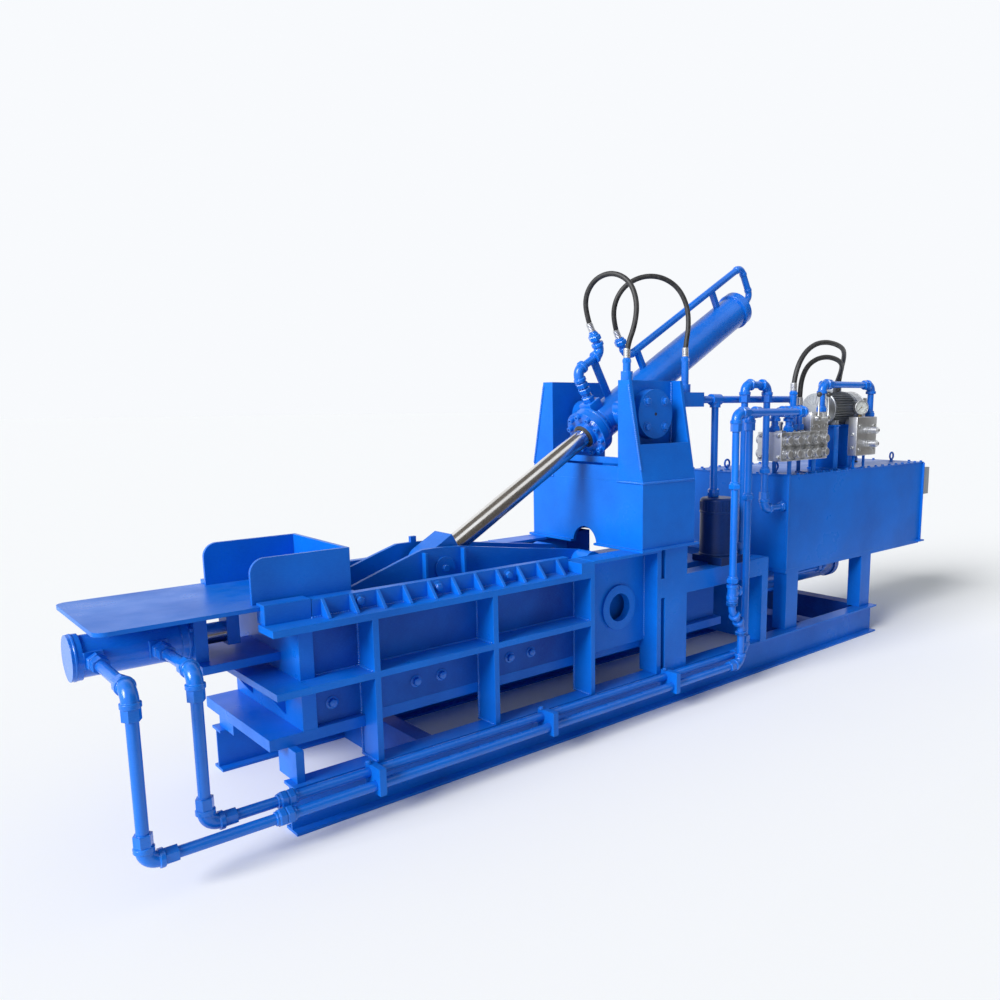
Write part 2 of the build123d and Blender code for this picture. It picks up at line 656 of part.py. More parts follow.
def lid_rod():
    inner = CYLINDER_LENGTH - ROD_END_INSIDE
    length = inner - ROD_HEAD_LENGTH
    rod = Pos(ROD_HEAD_LENGTH + length / 2, 0, 0) * Rot(0, 90, 0) * Cylinder(ROD_DIAMETER / 2, length)
    piston = Cylinder(BARREL_BORE / 2 - PIN_GAP, PISTON_LENGTH)
    rod += Pos(inner + PISTON_LENGTH / 2, 0, 0) * Rot(0, 90, 0) * piston
    return CYLINDER_FRAME * Pos(-CYLINDER_LENGTH, 0, 0) * rod


def lid_barrel():
    length = BARREL_TAIL + BARREL_NOSE
    body = Pos(-BARREL_NOSE + length / 2, 0, 0) * Rot(0, 90, 0) * Cylinder(BARREL_DIAMETER / 2, length)
    body += Pos(BARREL_TAIL - BARREL_CAP / 2, 0, 0) * Rot(0, 90, 0) * Cylinder(
        BARREL_DIAMETER / 2 + TRUNNION_SHOULDER / 2, BARREL_CAP)
    collar = 2 * (TOWER_SIDE_INNER - TRUNNION_SHOULDER)
    body += Rot(90, 0, 0) * Cylinder(TRUNNION_COLLAR / 2, collar)
    pins = 2 * (BEARING_FACE - TRUNNION_SHOULDER)
    body += Rot(90, 0, 0) * Cylinder(TRUNNION_DIAMETER / 2, pins)
    bore = BARREL_NOSE + BARREL_TAIL - BARREL_CAP
    body -= Pos(-BARREL_NOSE + bore / 2, 0, 0) * Rot(0, 90, 0) * Cylinder(BARREL_BORE / 2, bore)
    return CYLINDER_FRAME * body


def lid_gland():
    middle = -BARREL_NOSE - GLAND_THICKNESS / 2
    gland = Pos(middle, 0, 0) * Rot(0, 90, 0) * Cylinder(GLAND_RADIUS, GLAND_THICKNESS)
    gland += Pos(middle - GLAND_THICKNESS / 2, 0, 0) * Rot(0, 90, 0) * Cylinder(
        ROD_DIAMETER / 2 + BARREL_CAP / 3, GLAND_THICKNESS)
    for index in range(GLAND_SCREWS):
        angle = radians((index + 0.5) * 360 / GLAND_SCREWS)
        y = GLAND_SCREW_RADIUS * cos(angle)
        z = GLAND_SCREW_RADIUS * sin(angle)
        screw = Cylinder(GLAND_SCREW_HEAD / 2, BOLT_HEAD_HEIGHT)
        face = -BARREL_NOSE - GLAND_THICKNESS - BOLT_HEAD_HEIGHT / 2
        gland += Pos(face, y, z) * Rot(0, 90, 0) * screw
    gland -= Pos(middle, 0, 0) * Rot(0, 90, 0) * Cylinder(
        ROD_DIAMETER / 2 + PIN_GAP, 3 * GLAND_THICKNESS)
    return CYLINDER_FRAME * gland


# Rigid pipes that ride on the lid cylinder, as points along it and above its axis
HEAD_PORT_U = -111.0
HEAD_PIPE_V = 328.0
HEAD_RISER_U = 100.0
HEAD_RISER_V = 455.0
TAIL_PIPE_U = 263.0
TAIL_PIPE_V = 210.0
TAIL_RISER_V = 330.0
TAIL_TURN_REACH = 156.0
SADDLE_US = (356.0, 1120.0)


def lid_lines():
    surface = BARREL_DIAMETER / 2
    head = [(HEAD_PORT_U, surface), (HEAD_PORT_U, HEAD_PIPE_V), (HEAD_RISER_U, HEAD_PIPE_V),
            (HEAD_RISER_U, HEAD_RISER_V)]
    turn = BARREL_TAIL + TAIL_TURN_REACH
    tail = [(TAIL_PIPE_U, TAIL_RISER_V), (TAIL_PIPE_U, TAIL_PIPE_V), (turn, TAIL_PIPE_V),
            (turn, 0), (BARREL_TAIL, 0)]
    first = CYLINDER_FRAME * (pipe([(u, 0, v) for u, v in head])
                              + Pos(HEAD_PORT_U, 0, surface + FITTING_LENGTH / 2)
                              * Cylinder(FITTING_DIAMETER / 2, FITTING_LENGTH))
    second = pipe([(u, 0, v) for u, v in tail])
    second += Pos(BARREL_TAIL + FITTING_LENGTH / 2, 0, 0) * Rot(0, 90, 0) * Cylinder(
        FITTING_DIAMETER / 2, FITTING_LENGTH)
    for u in SADDLE_US:
        rise = TAIL_PIPE_V - surface
        second += Pos(u, 0, surface + rise / 2) * Box(CLAMP_WIDTH, CLAMP_WIDTH, rise)
    return [first, CYLINDER_FRAME * second]


def tower_base():
    rear = TOWER_REAR_X
    box = open_box(TOWER_X, rear, -TOWER_BOX_HALF_WIDTH, TOWER_BOX_HALF_WIDTH,
                   TOWER_FLANGE_Z, TOWER_BOX_TOP, TOWER_WALL)
    box += block(TOWER_X, rear, -TOWER_BOX_HALF_WIDTH, TOWER_BOX_HALF_WIDTH,
                 TOWER_BOX_TOP - TOWER_WALL, TOWER_BOX_TOP)
    margin = TOWER_FLANGE_MARGIN
    half = TOWER_BOX_HALF_WIDTH
    flange = block(TOWER_X - margin, rear + margin, -half - margin, half + margin,
                   TOWER_FLANGE_Z, TOWER_FLANGE_Z + TOWER_FLANGE)
    inside = block(TOWER_X + TOWER_WALL, rear - TOWER_WALL, -half + TOWER_WALL, half - TOWER_WALL,
                   TOWER_FLANGE_Z, TOWER_FLANGE_Z + TOWER_FLANGE)
    arch = along_x(TOWER_X - margin, TOWER_X + TOWER_WALL, 0, TOWER_FLANGE_Z, 2 * TOWER_ARCH_RADIUS)
    return box + (flange - inside) - arch


def tower_rib_reach(z):
    # How far the tower's front and rear ribs reach from the centre line at a height
    share = (z - TOWER_BOX_TOP) / (TOWER_TOP - TOWER_BOX_TOP)
    return TOWER_RIB_FOOT_REACH + share * (TOWER_RIB_TOP_REACH - TOWER_RIB_FOOT_REACH)


def tower_side(side):
    inner = TOWER_SIDE_INNER
    outer = inner + TOWER_SIDE_THICKNESS
    tower = side_block(side, TOWER_X, TOWER_REAR_X, inner, outer, TOWER_BOX_TOP, TOWER_TOP)
    rib = [(side * inner, TOWER_BOX_TOP), (side * TOWER_RIB_FOOT_REACH, TOWER_BOX_TOP),
           (side * TOWER_RIB_TOP_REACH, TOWER_TOP), (side * inner, TOWER_TOP)]
    tower += cross_plate(rib, TOWER_X, TOWER_X + TOWER_WALL)
    tower += cross_plate(rib, TOWER_REAR_X - TOWER_WALL, TOWER_REAR_X)
    top_reach = tower_rib_reach(TOWER_PANEL_TOP)
    panel = [(side * (TOWER_RIB_FOOT_REACH - TOWER_FLANGE), TOWER_BOX_TOP),
             (side * TOWER_RIB_FOOT_REACH, TOWER_BOX_TOP), (side * top_reach, TOWER_PANEL_TOP),
             (side * (top_reach - TOWER_FLANGE), TOWER_PANEL_TOP)]
    tower += cross_plate(panel, TOWER_X, TOWER_REAR_X)
    tower += along_y(TRUNNION_X, side * outer, side * BEARING_FACE, TRUNNION_Z, 2 * BEARING_RADIUS)
    seat = BEARING_FACE - TRUNNION_SHOULDER + PIN_GAP
    return tower - along_y(TRUNNION_X, side * inner, side * seat, TRUNNION_Z,
                           TRUNNION_DIAMETER + 2 * PIN_GAP)


def tower_cross():
    inner = TOWER_SIDE_INNER
    plates = block(TOWER_X, TOWER_X + TOWER_WALL, -inner, inner, TOWER_BOX_TOP, TOWER_CROSS_TOP)
    plates += block(TOWER_REAR_X - TOWER_WALL, TOWER_REAR_X, -inner, inner,
                    TOWER_BOX_TOP, TOWER_CROSS_TOP)
    bar = block(TIE_BAR_X, TIE_BAR_X + TIE_BAR_DEPTH, -inner, inner, TIE_BAR_Z,
                TIE_BAR_Z + TIE_BAR_HEIGHT)
    return [plates.solids()[0], plates.solids()[1], bar]


def ram():
    rear = RAM_FRONT_X + RAM_LENGTH
    bottom = FLOOR_TOP + RUNNING_GAP
    body = block(RAM_FRONT_X, rear, -RAM_HALF_WIDTH, RAM_HALF_WIDTH, bottom, RAM_TOP)
    half = RAM_HALF_WIDTH - RAM_WALL
    return body - block(RAM_FRONT_X + RAM_FACE, rear, -half, half, bottom + RAM_WALL,
                        RAM_TOP - RAM_WALL)


def main_rod():
    end = HEAD_PLATE_X + RAM_STROKE + PISTON_LENGTH
    rod = along_x(RAM_FRONT_X + RAM_FACE, end, 0, MAIN_AXIS_Z, MAIN_ROD_DIAMETER)
    return rod + along_x(end, end + PISTON_LENGTH, 0, MAIN_AXIS_Z, MAIN_BORE - 2 * PIN_GAP)


def main_cylinder():
    start = HEAD_PLATE_X + HEAD_PLATE_THICKNESS
    end = start + MAIN_BARREL_LENGTH
    body = along_x(start, end, 0, MAIN_AXIS_Z, MAIN_BARREL_DIAMETER)
    body += along_x(end - MAIN_CAP, end, 0, MAIN_AXIS_Z, MAIN_BARREL_DIAMETER + TRUNNION_SHOULDER)
    return body - along_x(start, end - MAIN_CAP, 0, MAIN_AXIS_Z, MAIN_BORE)


def cylinder_frame():
    rear = HEAD_PLATE_X + HEAD_PLATE_THICKNESS
    frame = block(HEAD_PLATE_X, rear, -BASE_HALF_WIDTH, BASE_HALF_WIDTH, BEAM_HEIGHT, HEAD_PLATE_TOP)
    frame -= along_x(HEAD_PLATE_X, rear, 0, MAIN_AXIS_Z, MAIN_ROD_DIAMETER + 2 * PIN_GAP)
    start = POST_X + POST_THICKNESS
    for side in (NEAR, FAR):
        beam = side_block(side, start, HEAD_PLATE_X, REAR_BEAM_INNER, BASE_HALF_WIDTH,
                          REAR_BEAM_Z, HEAD_PLATE_TOP)
        hollow = side_block(side, start, HEAD_PLATE_X, REAR_BEAM_INNER + REAR_BOX_WALL,
                            BASE_HALF_WIDTH - REAR_BOX_WALL, REAR_BEAM_Z + REAR_BOX_WALL,
                            HEAD_PLATE_TOP - REAR_BOX_WALL)
        frame += beam - hollow
        for low, high in ((BEAM_HEIGHT, REAR_BEAM_Z), (HEAD_PLATE_TOP, TOWER_FLANGE_Z)):
            near_edge = side * REAR_BEAM_INNER
            far_edge = side * BASE_HALF_WIDTH
            frame += open_box(REAR_FRAME_X, REAR_FRAME_X + REAR_POST_LENGTH,
                              min(near_edge, far_edge), max(near_edge, far_edge),
                              low, high, REAR_BOX_WALL)
    floor_seat = side_seats()
    return frame + floor_seat


def side_seats():
    # Brackets from the rear posts to the floor's edges
    seats = []
    for side in (NEAR, FAR):
        seats.append(side_block(side, REAR_FRAME_X, REAR_FRAME_X + REAR_POST_LENGTH, WALL_OUTER,
                                REAR_BEAM_INNER, FLOOR_BOTTOM, FLOOR_TOP))
    return seats[0] + seats[1]


def oil_tank():
    end = TANK_X + TANK_LENGTH
    tank = block(TANK_X, end, -TANK_HALF_WIDTH, TANK_HALF_WIDTH, TANK_BOTTOM, TANK_TOP)
    tank -= block(TANK_X + TANK_WALL, end - TANK_WALL, -TANK_HALF_WIDTH + TANK_WALL,
                  TANK_HALF_WIDTH - TANK_WALL, TANK_BOTTOM + TANK_WALL, TANK_TOP - TANK_WALL)
    return tank + along_z(FILLER_X, 0, TANK_TOP, TANK_TOP + FILLER_HEIGHT, FILLER_DIAMETER)


def tank_stand():
    stand = None
    width = BEAM_WIDTH
    outer = TANK_HALF_WIDTH
    for side in (NEAR, FAR):
        y0 = side * (outer - width)
        y1 = side * outer
        rail = block(TANK_X, TANK_X + TANK_LENGTH, y0, y1, TANK_BOTTOM - STAND_RAIL, TANK_BOTTOM)
        stand = rail if stand is None else stand + rail
        for x in (STAND_FRONT_LEG_X, STAND_REAR_LEG_X):
            stand += open_box(x, x + STAND_LEG_LENGTH, min(y0, y1), max(y0, y1), BEAM_HEIGHT,
                              TANK_BOTTOM - STAND_RAIL, STAND_WALL)
    for x in (STAND_FRONT_LEG_X, STAND_REAR_LEG_X):
        inner = outer - width
        stand += block(x, x + STAND_RAIL, -inner, inner, TANK_BOTTOM - STAND_RAIL, TANK_BOTTOM)
    return stand


def limit_box():
    start = TANK_X + TANK_LENGTH
    box = block(start, start + LIMIT_BOX_LENGTH, -TANK_HALF_WIDTH, -TANK_HALF_WIDTH + LIMIT_BOX_WIDTH,
                LIMIT_BOX_Z, LIMIT_BOX_Z + LIMIT_BOX_HEIGHT)
    return box


def valve_bank():
    end = VALVE_X + VALVE_LENGTH
    bank = block(VALVE_X, end, VALVE_NEAR, VALVE_FAR, VALVE_Z, VALVE_TOP)
    for index in range(1, VALVE_SECTIONS):
        x = VALVE_X + index * VALVE_LENGTH / VALVE_SECTIONS
        groove = VALVE_SECTION_GROOVE
        bank -= block(x, x + groove, VALVE_NEAR, VALVE_NEAR + groove, VALVE_Z, VALVE_TOP)
    bank += block(LEVER_BLOCK_X, end, VALVE_NEAR, VALVE_FAR, VALVE_TOP, LEVER_BLOCK_TOP)
    for x in (TANK_X + FOOT_LENGTH, end - FOOT_LENGTH):
        bank += block(x - FOOT_LENGTH, x, -TANK_HALF_WIDTH + TANK_WALL, VALVE_FAR, TANK_TOP, VALVE_Z)
    return bank


def lever_x(index):
    return LEVER_BLOCK_X + FOOT_LENGTH + index * LEVER_PITCH


def valve_lever(index):
    x = lever_x(index)
    face = VALVE_NEAR - PIN_GAP
    y = face - LEVER_STAND_OUT
    lever = along_y(x, face, y - LEVER_DIAMETER, LEVER_PIVOT_Z, 2 * LEVER_STAND_OUT)
    lever += along_z(x, y, LEVER_PIVOT_Z, LEVER_PIVOT_Z + LEVER_LENGTH, LEVER_DIAMETER)
    return lever + Pos(x, y, LEVER_PIVOT_Z + LEVER_LENGTH) * Sphere(LEVER_KNOB / 2)


def pump_motor():
    end = MOTOR_X + MOTOR_LENGTH
    motor = along_x(MOTOR_X, end, MOTOR_AXIS_Y, MOTOR_AXIS_Z, MOTOR_DIAMETER)
    motor += along_x(end, end + PUMP_LENGTH, MOTOR_AXIS_Y, MOTOR_AXIS_Z, PUMP_DIAMETER)
    for x in (MOTOR_X + FOOT_LENGTH, end - 2 * FOOT_LENGTH):
        half = MOTOR_DIAMETER / 2 - LEVER_STAND_OUT
        motor += block(x, x + FOOT_LENGTH, MOTOR_AXIS_Y - half, MOTOR_AXIS_Y + half, TANK_TOP,
                       MOTOR_AXIS_Z - MOTOR_DIAMETER / 4)
    return motor


def pump_manifold():
    end = MANIFOLD_X + MANIFOLD_LENGTH
    far = MANIFOLD_NEAR + MANIFOLD_WIDTH
    body = block(MANIFOLD_X, end, MANIFOLD_NEAR, far, MANIFOLD_Z, MANIFOLD_TOP)
    return body + block(MANIFOLD_X + FOOT_LENGTH, end - FOOT_LENGTH, -TANK_HALF_WIDTH + TANK_WALL, far,
                        TANK_TOP, MANIFOLD_Z)


MANIFOLD_Y = MANIFOLD_NEAR + MANIFOLD_WIDTH / 2
GAUGE_Z = MANIFOLD_TOP + GAUGE_RISE + GAUGE_RADIUS


def pressure_gauge():
    body = along_y(GAUGE_X, MANIFOLD_Y - GAUGE_DEPTH / 2, MANIFOLD_Y + GAUGE_DEPTH / 2, GAUGE_Z,
                   2 * GAUGE_RADIUS)
    return body + along_z(GAUGE_X, MANIFOLD_Y, MANIFOLD_TOP, GAUGE_Z, GAUGE_STEM)


FILTER_BASE = RAM_TOP + RUNNING_GAP + FILTER_PLATE
FILTER_TOP = FILTER_BASE + FILTER_HEIGHT


def oil_filter():
    half = FILTER_DIAMETER / 2
    body = along_z(FILTER_X, FILTER_Y, FILTER_BASE, FILTER_TOP, FILTER_DIAMETER)
    body = fillet(body.edges().filter_by(GeomType.CIRCLE), half / 5)
    body += block(FILTER_X - half, FILTER_X + half, -BASE_HALF_WIDTH, FILTER_Y + half,
                  FILTER_BASE - FILTER_PLATE, FILTER_BASE + half / 5)
    return body + block(FILTER_X - half, FILTER_X + half, -BASE_HALF_WIDTH, -REAR_BEAM_INNER,
                        HEAD_PLATE_TOP, FILTER_BASE)


# Routes of the rigid pipes
LOCK_PIPE_XS = (-560.0, -340.0)
LOCK_PORT_Y = -LOCK_CAP_DIAMETER / 2
OUTER_RISER_X = 2681.0
OUTER_VALVE_X = 2592.0
INNER_RISER_X = 2785.0
RISER_TOP_Z = 1606.0
VALVE_ENTRY_XS = (3215.0, 3290.0)
VALVE_ENTRY_YS = (-350.0, -400.0)
OFFSET_ZS = (372.0, 474.0)
OUTER_PIPE_ROUTE = [
    (LOCK_PIPE_XS[0], LOCK_PORT_Y, LOCK_AXIS_Z), (LOCK_PIPE_XS[0], OUTER_PIPE_Y, LOCK_AXIS_Z),
    (LOCK_PIPE_XS[0], OUTER_PIPE_Y, OUTER_PIPE_Z), (OUTER_RISER_X, OUTER_PIPE_Y, OUTER_PIPE_Z),
    (OUTER_RISER_X, OUTER_PIPE_Y, OFFSET_ZS[0]), (OUTER_VALVE_X, OUTER_PIPE_Y, OFFSET_ZS[1]),
    (OUTER_VALVE_X, OUTER_PIPE_Y, RISER_TOP_Z), (VALVE_ENTRY_XS[1], OUTER_PIPE_Y, RISER_TOP_Z),
    (VALVE_ENTRY_XS[1], VALVE_ENTRY_YS[1], RISER_TOP_Z), (VALVE_ENTRY_XS[1], VALVE_ENTRY_YS[1], VALVE_TOP)]
INNER_PIPE_ROUTE = [
    (LOCK_PIPE_XS[1], LOCK_PORT_Y, LOCK_AXIS_Z), (LOCK_PIPE_XS[1], INNER_PIPE_Y, LOCK_AXIS_Z),
    (LOCK_PIPE_XS[1], INNER_PIPE_Y, INNER_PIPE_Z), (INNER_RISER_X, INNER_PIPE_Y, INNER_PIPE_Z),
    (INNER_RISER_X, INNER_PIPE_Y, RISER_TOP_Z), (VALVE_ENTRY_XS[0], INNER_PIPE_Y, RISER_TOP_Z),
    (VALVE_ENTRY_XS[0], VALVE_ENTRY_YS[0], RISER_TOP_Z), (VALVE_ENTRY_XS[0], VALVE_ENTRY_YS[0], VALVE_TOP)]


def route_fittings(route, body):
    # Union nuts beside the bends of the runs that are long enough for them
    for start, end in zip(route, route[1:]):
        length = (Vector(*end) - Vector(*start)).length
        if length > 3 * (BEND_RADIUS + FITTING_LENGTH):
            body += fitting(start, end, BEND_RADIUS + FITTING_LENGTH / 4)
            body += fitting(start, end, length - BEND_RADIUS - FITTING_LENGTH * 1.25)
    return body


def line_lock(route):
    return route_fittings(route, pipe(route))


TOWER_BLOCK_REAR_X = TOWER_REAR_X + TOWER_BLOCK_LENGTH
TOWER_PIPE_END_X = 3526.0


def line_tower():
    half = TOWER_BLOCK_HEIGHT / 2
    near = -TOWER_RIB_TOP_REACH
    body = block(TOWER_REAR_X, TOWER_BLOCK_REAR_X, near, TOWER_BLOCK_FAR, TOWER_BLOCK_Z,
                 TOWER_BLOCK_Z + TOWER_BLOCK_HEIGHT)
    body += pipe([(TOWER_BLOCK_REAR_X, TOWER_PIPE_Y, TOWER_PIPE_Z),
                  (TOWER_PIPE_END_X, TOWER_PIPE_Y, TOWER_PIPE_Z),
                  (TOWER_PIPE_END_X, TOWER_PIPE_Y, LEVER_BLOCK_TOP)])
    body += along_z(FILTER_X, TOWER_PIPE_Y, FILTER_TOP, TOWER_PIPE_Z, PIPE_DIAMETER)
    body += along_x(FILTER_X - half, FILTER_X + half, TOWER_PIPE_Y, TOWER_PIPE_Z, FITTING_DIAMETER)
    body += along_z(FILTER_X, TOWER_PIPE_Y, TOWER_PIPE_Z - FITTING_LENGTH, TOWER_PIPE_Z, FITTING_DIAMETER)
    body += along_z(FILTER_X, TOWER_PIPE_Y, FILTER_TOP, FILTER_TOP + FITTING_LENGTH, FITTING_DIAMETER)
    return body


ARCH_Y = -400.0
ARCH_Z = 1766.0
ARCH_XS = (2880.0, 3100.0)
ARCH_END_Z = 1010.0
DELIVERY_Z = 1775.0
DELIVERY_XS = (3640.0, 4250.0)
SUCTION_Y = -300.0
SUCTION_Z = 510.0
SUCTION_XS = (3545.0, 4022.0)


def line_tank():
    arch_y = ARCH_Y + FITTING_DIAMETER / 2
    arch = [(ARCH_XS[0], arch_y, HEAD_PLATE_TOP), (ARCH_XS[0], arch_y, ARCH_Z),
            (ARCH_XS[1], arch_y, ARCH_Z), (ARCH_XS[1], arch_y, ARCH_END_Z),
            (TANK_X, arch_y, ARCH_END_Z)]
    delivery = [(DELIVERY_XS[0], MANIFOLD_Y, LEVER_BLOCK_TOP), (DELIVERY_XS[0], MANIFOLD_Y, DELIVERY_Z),
                (DELIVERY_XS[1], MANIFOLD_Y, DELIVERY_Z), (DELIVERY_XS[1], MANIFOLD_Y, MANIFOLD_TOP)]
    suction = [(SUCTION_XS[0], SUCTION_Y + FITTING_DIAMETER, TANK_BOTTOM),
               (SUCTION_XS[0], SUCTION_Y + FITTING_DIAMETER, SUCTION_Z),
               (SUCTION_XS[1], SUCTION_Y + FITTING_DIAMETER, SUCTION_Z),
               (SUCTION_XS[1], SUCTION_Y + FITTING_DIAMETER, TANK_BOTTOM)]
    return [route_fittings(route, pipe(route)) for route in (arch, delivery, suction)]


def pipe_clamps():
    clamps = []
    hole = PIPE_DIAMETER + 2 * PIPE_FIT
    for x in CLAMP_XS:
        low = OUTER_PIPE_Z - PIPE_DIAMETER / 2 - CLAMP_BAND
        high = INNER_PIPE_Z + PIPE_DIAMETER / 2 + CLAMP_BAND
        near = OUTER_PIPE_Y - PIPE_DIAMETER / 2 - CLAMP_BAND
        clamp = block(x, x + CLAMP_WIDTH, near, -BASE_HALF_WIDTH, low, min(high, BEAM_HEIGHT))
        clamp += block(x, x + CLAMP_WIDTH, near, -BASE_HALF_WIDTH - CLAMP_BAND / 8, low, high)
        clamp -= along_x(x, x + CLAMP_WIDTH, OUTER_PIPE_Y, OUTER_PIPE_Z, hole)
        clamp -= along_x(x, x + CLAMP_WIDTH, INNER_PIPE_Y, INNER_PIPE_Z, hole)
        clamps.append(clamp)
    return clamps


# Hoses: their routes are points chosen along the way
HOSE_POST_X = 1985.0
HOSE_POST_TOP = 1893.0
HOSE_POST_Y = -TOWER_SIDE_INNER - TOWER_SIDE_THICKNESS / 2
TAIL_POST_X = 2465.0
TAIL_POST_Y = -262.0
TAIL_POST_TOP = 1915.0
RISER_ZS = (1729.0, 1640.0)
RETURN_ZS = (1740.0, 1650.0)
RISER_XS = (3368.0, 3438.0)
RISER_Y = -375.0
RETURN_XS = (4330.0, 4255.0)
RETURN_Y = -100.0


def head_hose_route():
    start = on_cylinder(HEAD_RISER_U, HEAD_RISER_V)
    lift = on_cylinder(HEAD_RISER_U, HEAD_RISER_V + 58)
    return [start, lift, (1945, 9, 2218), (1952, -58, 2314), (1981, -167, 2345), (2011, -269, 2295),
            (2019, -317, 2187), (2009, -313, 2068), (HOSE_POST_X, HOSE_POST_Y, 1952),
            (HOSE_POST_X, HOSE_POST_Y, HOSE_POST_TOP)]


def tail_hose_route():
    start = on_cylinder(TAIL_PIPE_U, TAIL_RISER_V)
    lift = on_cylinder(TAIL_PIPE_U, TAIL_RISER_V + 59)
    return [start, lift, (2143, -9, 2186), (2179, -43, 2291), (2263, -95, 2353), (2364, -154, 2360),
            (2452, -208, 2307), (2495, -245, 2206), (2495, -260, 2089), (TAIL_POST_X, TAIL_POST_Y, 1973),
            (TAIL_POST_X, TAIL_POST_Y, TAIL_POST_TOP)]


def outer_hose_route():
    return [(RISER_XS[0], RISER_Y, RISER_ZS[0]), (RISER_XS[0], RISER_Y, 1786), (3401, -382, 1895),
            (3487, -393, 1967), (3599, -396, 1987), (3713, -387, 1989), (3825, -366, 1987),
            (3935, -334, 1989), (4041, -290, 1993), (4142, -236, 1995), (4235, -174, 1978),
            (4304, -122, 1906), (RETURN_XS[0], RETURN_Y, 1797), (RETURN_XS[0], RETURN_Y, RETURN_ZS[0])]


def inner_hose_route():
    return [(RISER_XS[1], RISER_Y, RISER_ZS[1]), (RISER_XS[1], RISER_Y, 1696), (3467, -359, 1805),
            (3548, -355, 1880), (3659, -360, 1901), (3772, -359, 1903), (3884, -344, 1903),
            (3992, -311, 1905), (4093, -259, 1905), (4180, -190, 1887), (4236, -127, 1815),
            (RETURN_XS[1], RETURN_Y, 1707), (RETURN_XS[1], RETURN_Y, RETURN_ZS[1])]


def post(x, y, bottom, top):
    body = along_z(x, y, bottom, top, PIPE_DIAMETER)
    return body + along_z(x, y, bottom, bottom + FITTING_LENGTH, FITTING_DIAMETER)


def hose_posts():
    posts = [post(HOSE_POST_X, HOSE_POST_Y, TOWER_TOP, HOSE_POST_TOP),
             post(TAIL_POST_X, TAIL_POST_Y, TOWER_BLOCK_Z + TOWER_BLOCK_HEIGHT, TAIL_POST_TOP)]
    for index in range(2):
        posts.append(post(RISER_XS[index], RISER_Y, VALVE_TOP, RISER_ZS[index]))
        posts.append(post(RETURN_XS[index], RETURN_Y, TANK_TOP, RETURN_ZS[index]))
    return posts


PARTS = {}


def add(name, shape):
    if isinstance(shape, (list, tuple)):
        solids = [solid for item in shape for solid in item.solids()]
        shape = Compound(solids)
    PARTS[name] = shape


for label, side in (("near", NEAR), ("far", FAR)):
    add(f"base_beam_{label}", base_beam(side))
    add(f"side_wall_{label}", side_wall(side))
    add(f"rib_frame_{label}", rib_frame(side))
    add(f"shear_bar_{label}", shear_bar(side))
    add(f"hinge_plate_{label}", hinge_plate(side))
    add(f"lock_guide_{label}", lock_guide(side))
    add(f"lid_web_{label}", lid_web(side))
    add(f"tower_side_{label}", tower_side(side))
add("base_crosses", [base_cross(FRONT_CROSS_X, FRONT_CROSS_WIDTH),
                     base_cross(MID_CROSS_X, MID_CROSS_WIDTH),
                     base_cross(BASE_LENGTH - REAR_CROSS_WIDTH, REAR_CROSS_WIDTH)])
add("chamber_floor", chamber_floor())
add("end_wall", end_wall())
add("frame_bolts", frame_bolts())
add("lid_shaft", lid_shaft())
add("lock_tray", lock_tray())
add("lock_guard", lock_guard())
add("lock_rod", lock_rod())
add("lock_cylinder", lock_cylinder())
add("lock_mount", lock_mount())
add("lid_plate", lid_plate())
add("lid_pin", lid_pin())
add("lid_rod_head", lid_rod_head())
add("lid_rod", lid_rod())
add("lid_barrel", lid_barrel())
add("lid_gland", lid_gland())
add("lid_lines", lid_lines())
add("tower_base", tower_base())
add("tower_cross", tower_cross())
add("ram", ram())
add("main_rod", main_rod())
add("main_cylinder", main_cylinder())
add("cylinder_frame", cylinder_frame())
add("oil_tank", oil_tank())
add("tank_stand", tank_stand())
add("limit_box", limit_box())
add("valve_bank", valve_bank())
for number in range(LEVER_COUNT):
    add(f"valve_lever_{number + 1}", valve_lever(number))
add("pump_motor", pump_motor())
add("pump_manifold", pump_manifold())
add("pressure_gauge", pressure_gauge())
add("oil_filter", oil_filter())
add("line_lock_outer", line_lock(OUTER_PIPE_ROUTE))
add("line_lock_inner", line_lock(INNER_PIPE_ROUTE))
add("line_tower", line_tower())
add("line_tank", line_tank())
add("pipe_clamps", pipe_clamps())
add("hose_posts", hose_posts())
HOSE_ROUTES = {"hose_head": (head_hose_route(), TOWER_HOSE_DIAMETER),
               "hose_tail": (tail_hose_route(), TOWER_HOSE_DIAMETER),
               "hose_tank_outer": (outer_hose_route(), TANK_HOSE_DIAMETER),
               "hose_tank_inner": (inner_hose_route(), TANK_HOSE_DIAMETER)}
for name, (hose_route, hose_diameter) in HOSE_ROUTES.items():
    tube, bends = hose(hose_route, hose_diameter)
    add(name, tube)
    print(name, "bend radii", [round(bend) for bend in bends])

# Everything is moved so that the origin lies under the front cross-member's middle
DATUM_X = FRONT_CROSS_X + FRONT_CROSS_WIDTH / 2
os.makedirs("parts", exist_ok=True)
for name, shape in PARTS.items():
    export_step(Pos(-DATUM_X, 0, 0) * shape, f"parts/{name}.step")
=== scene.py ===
# %% [markdown]
# # A scrap baling press, dressed over its CAD frame
# The press is a long welded steel machine: a ribbed chamber with a hinged lid, a tower with
# a tilting cylinder, and an oil tank with pump and valves on one base. The CAD solids give
# every plate its true place. This script adds what a buyer sees up close: paint, welds,
# bolts, pipe elbows, hoses, the valve bank, the motor and the gauge.

# %% The frame and the names used all through
from math import cos, pi, radians, sin

import bpy
import bmesh
from mathutils import Matrix, Vector


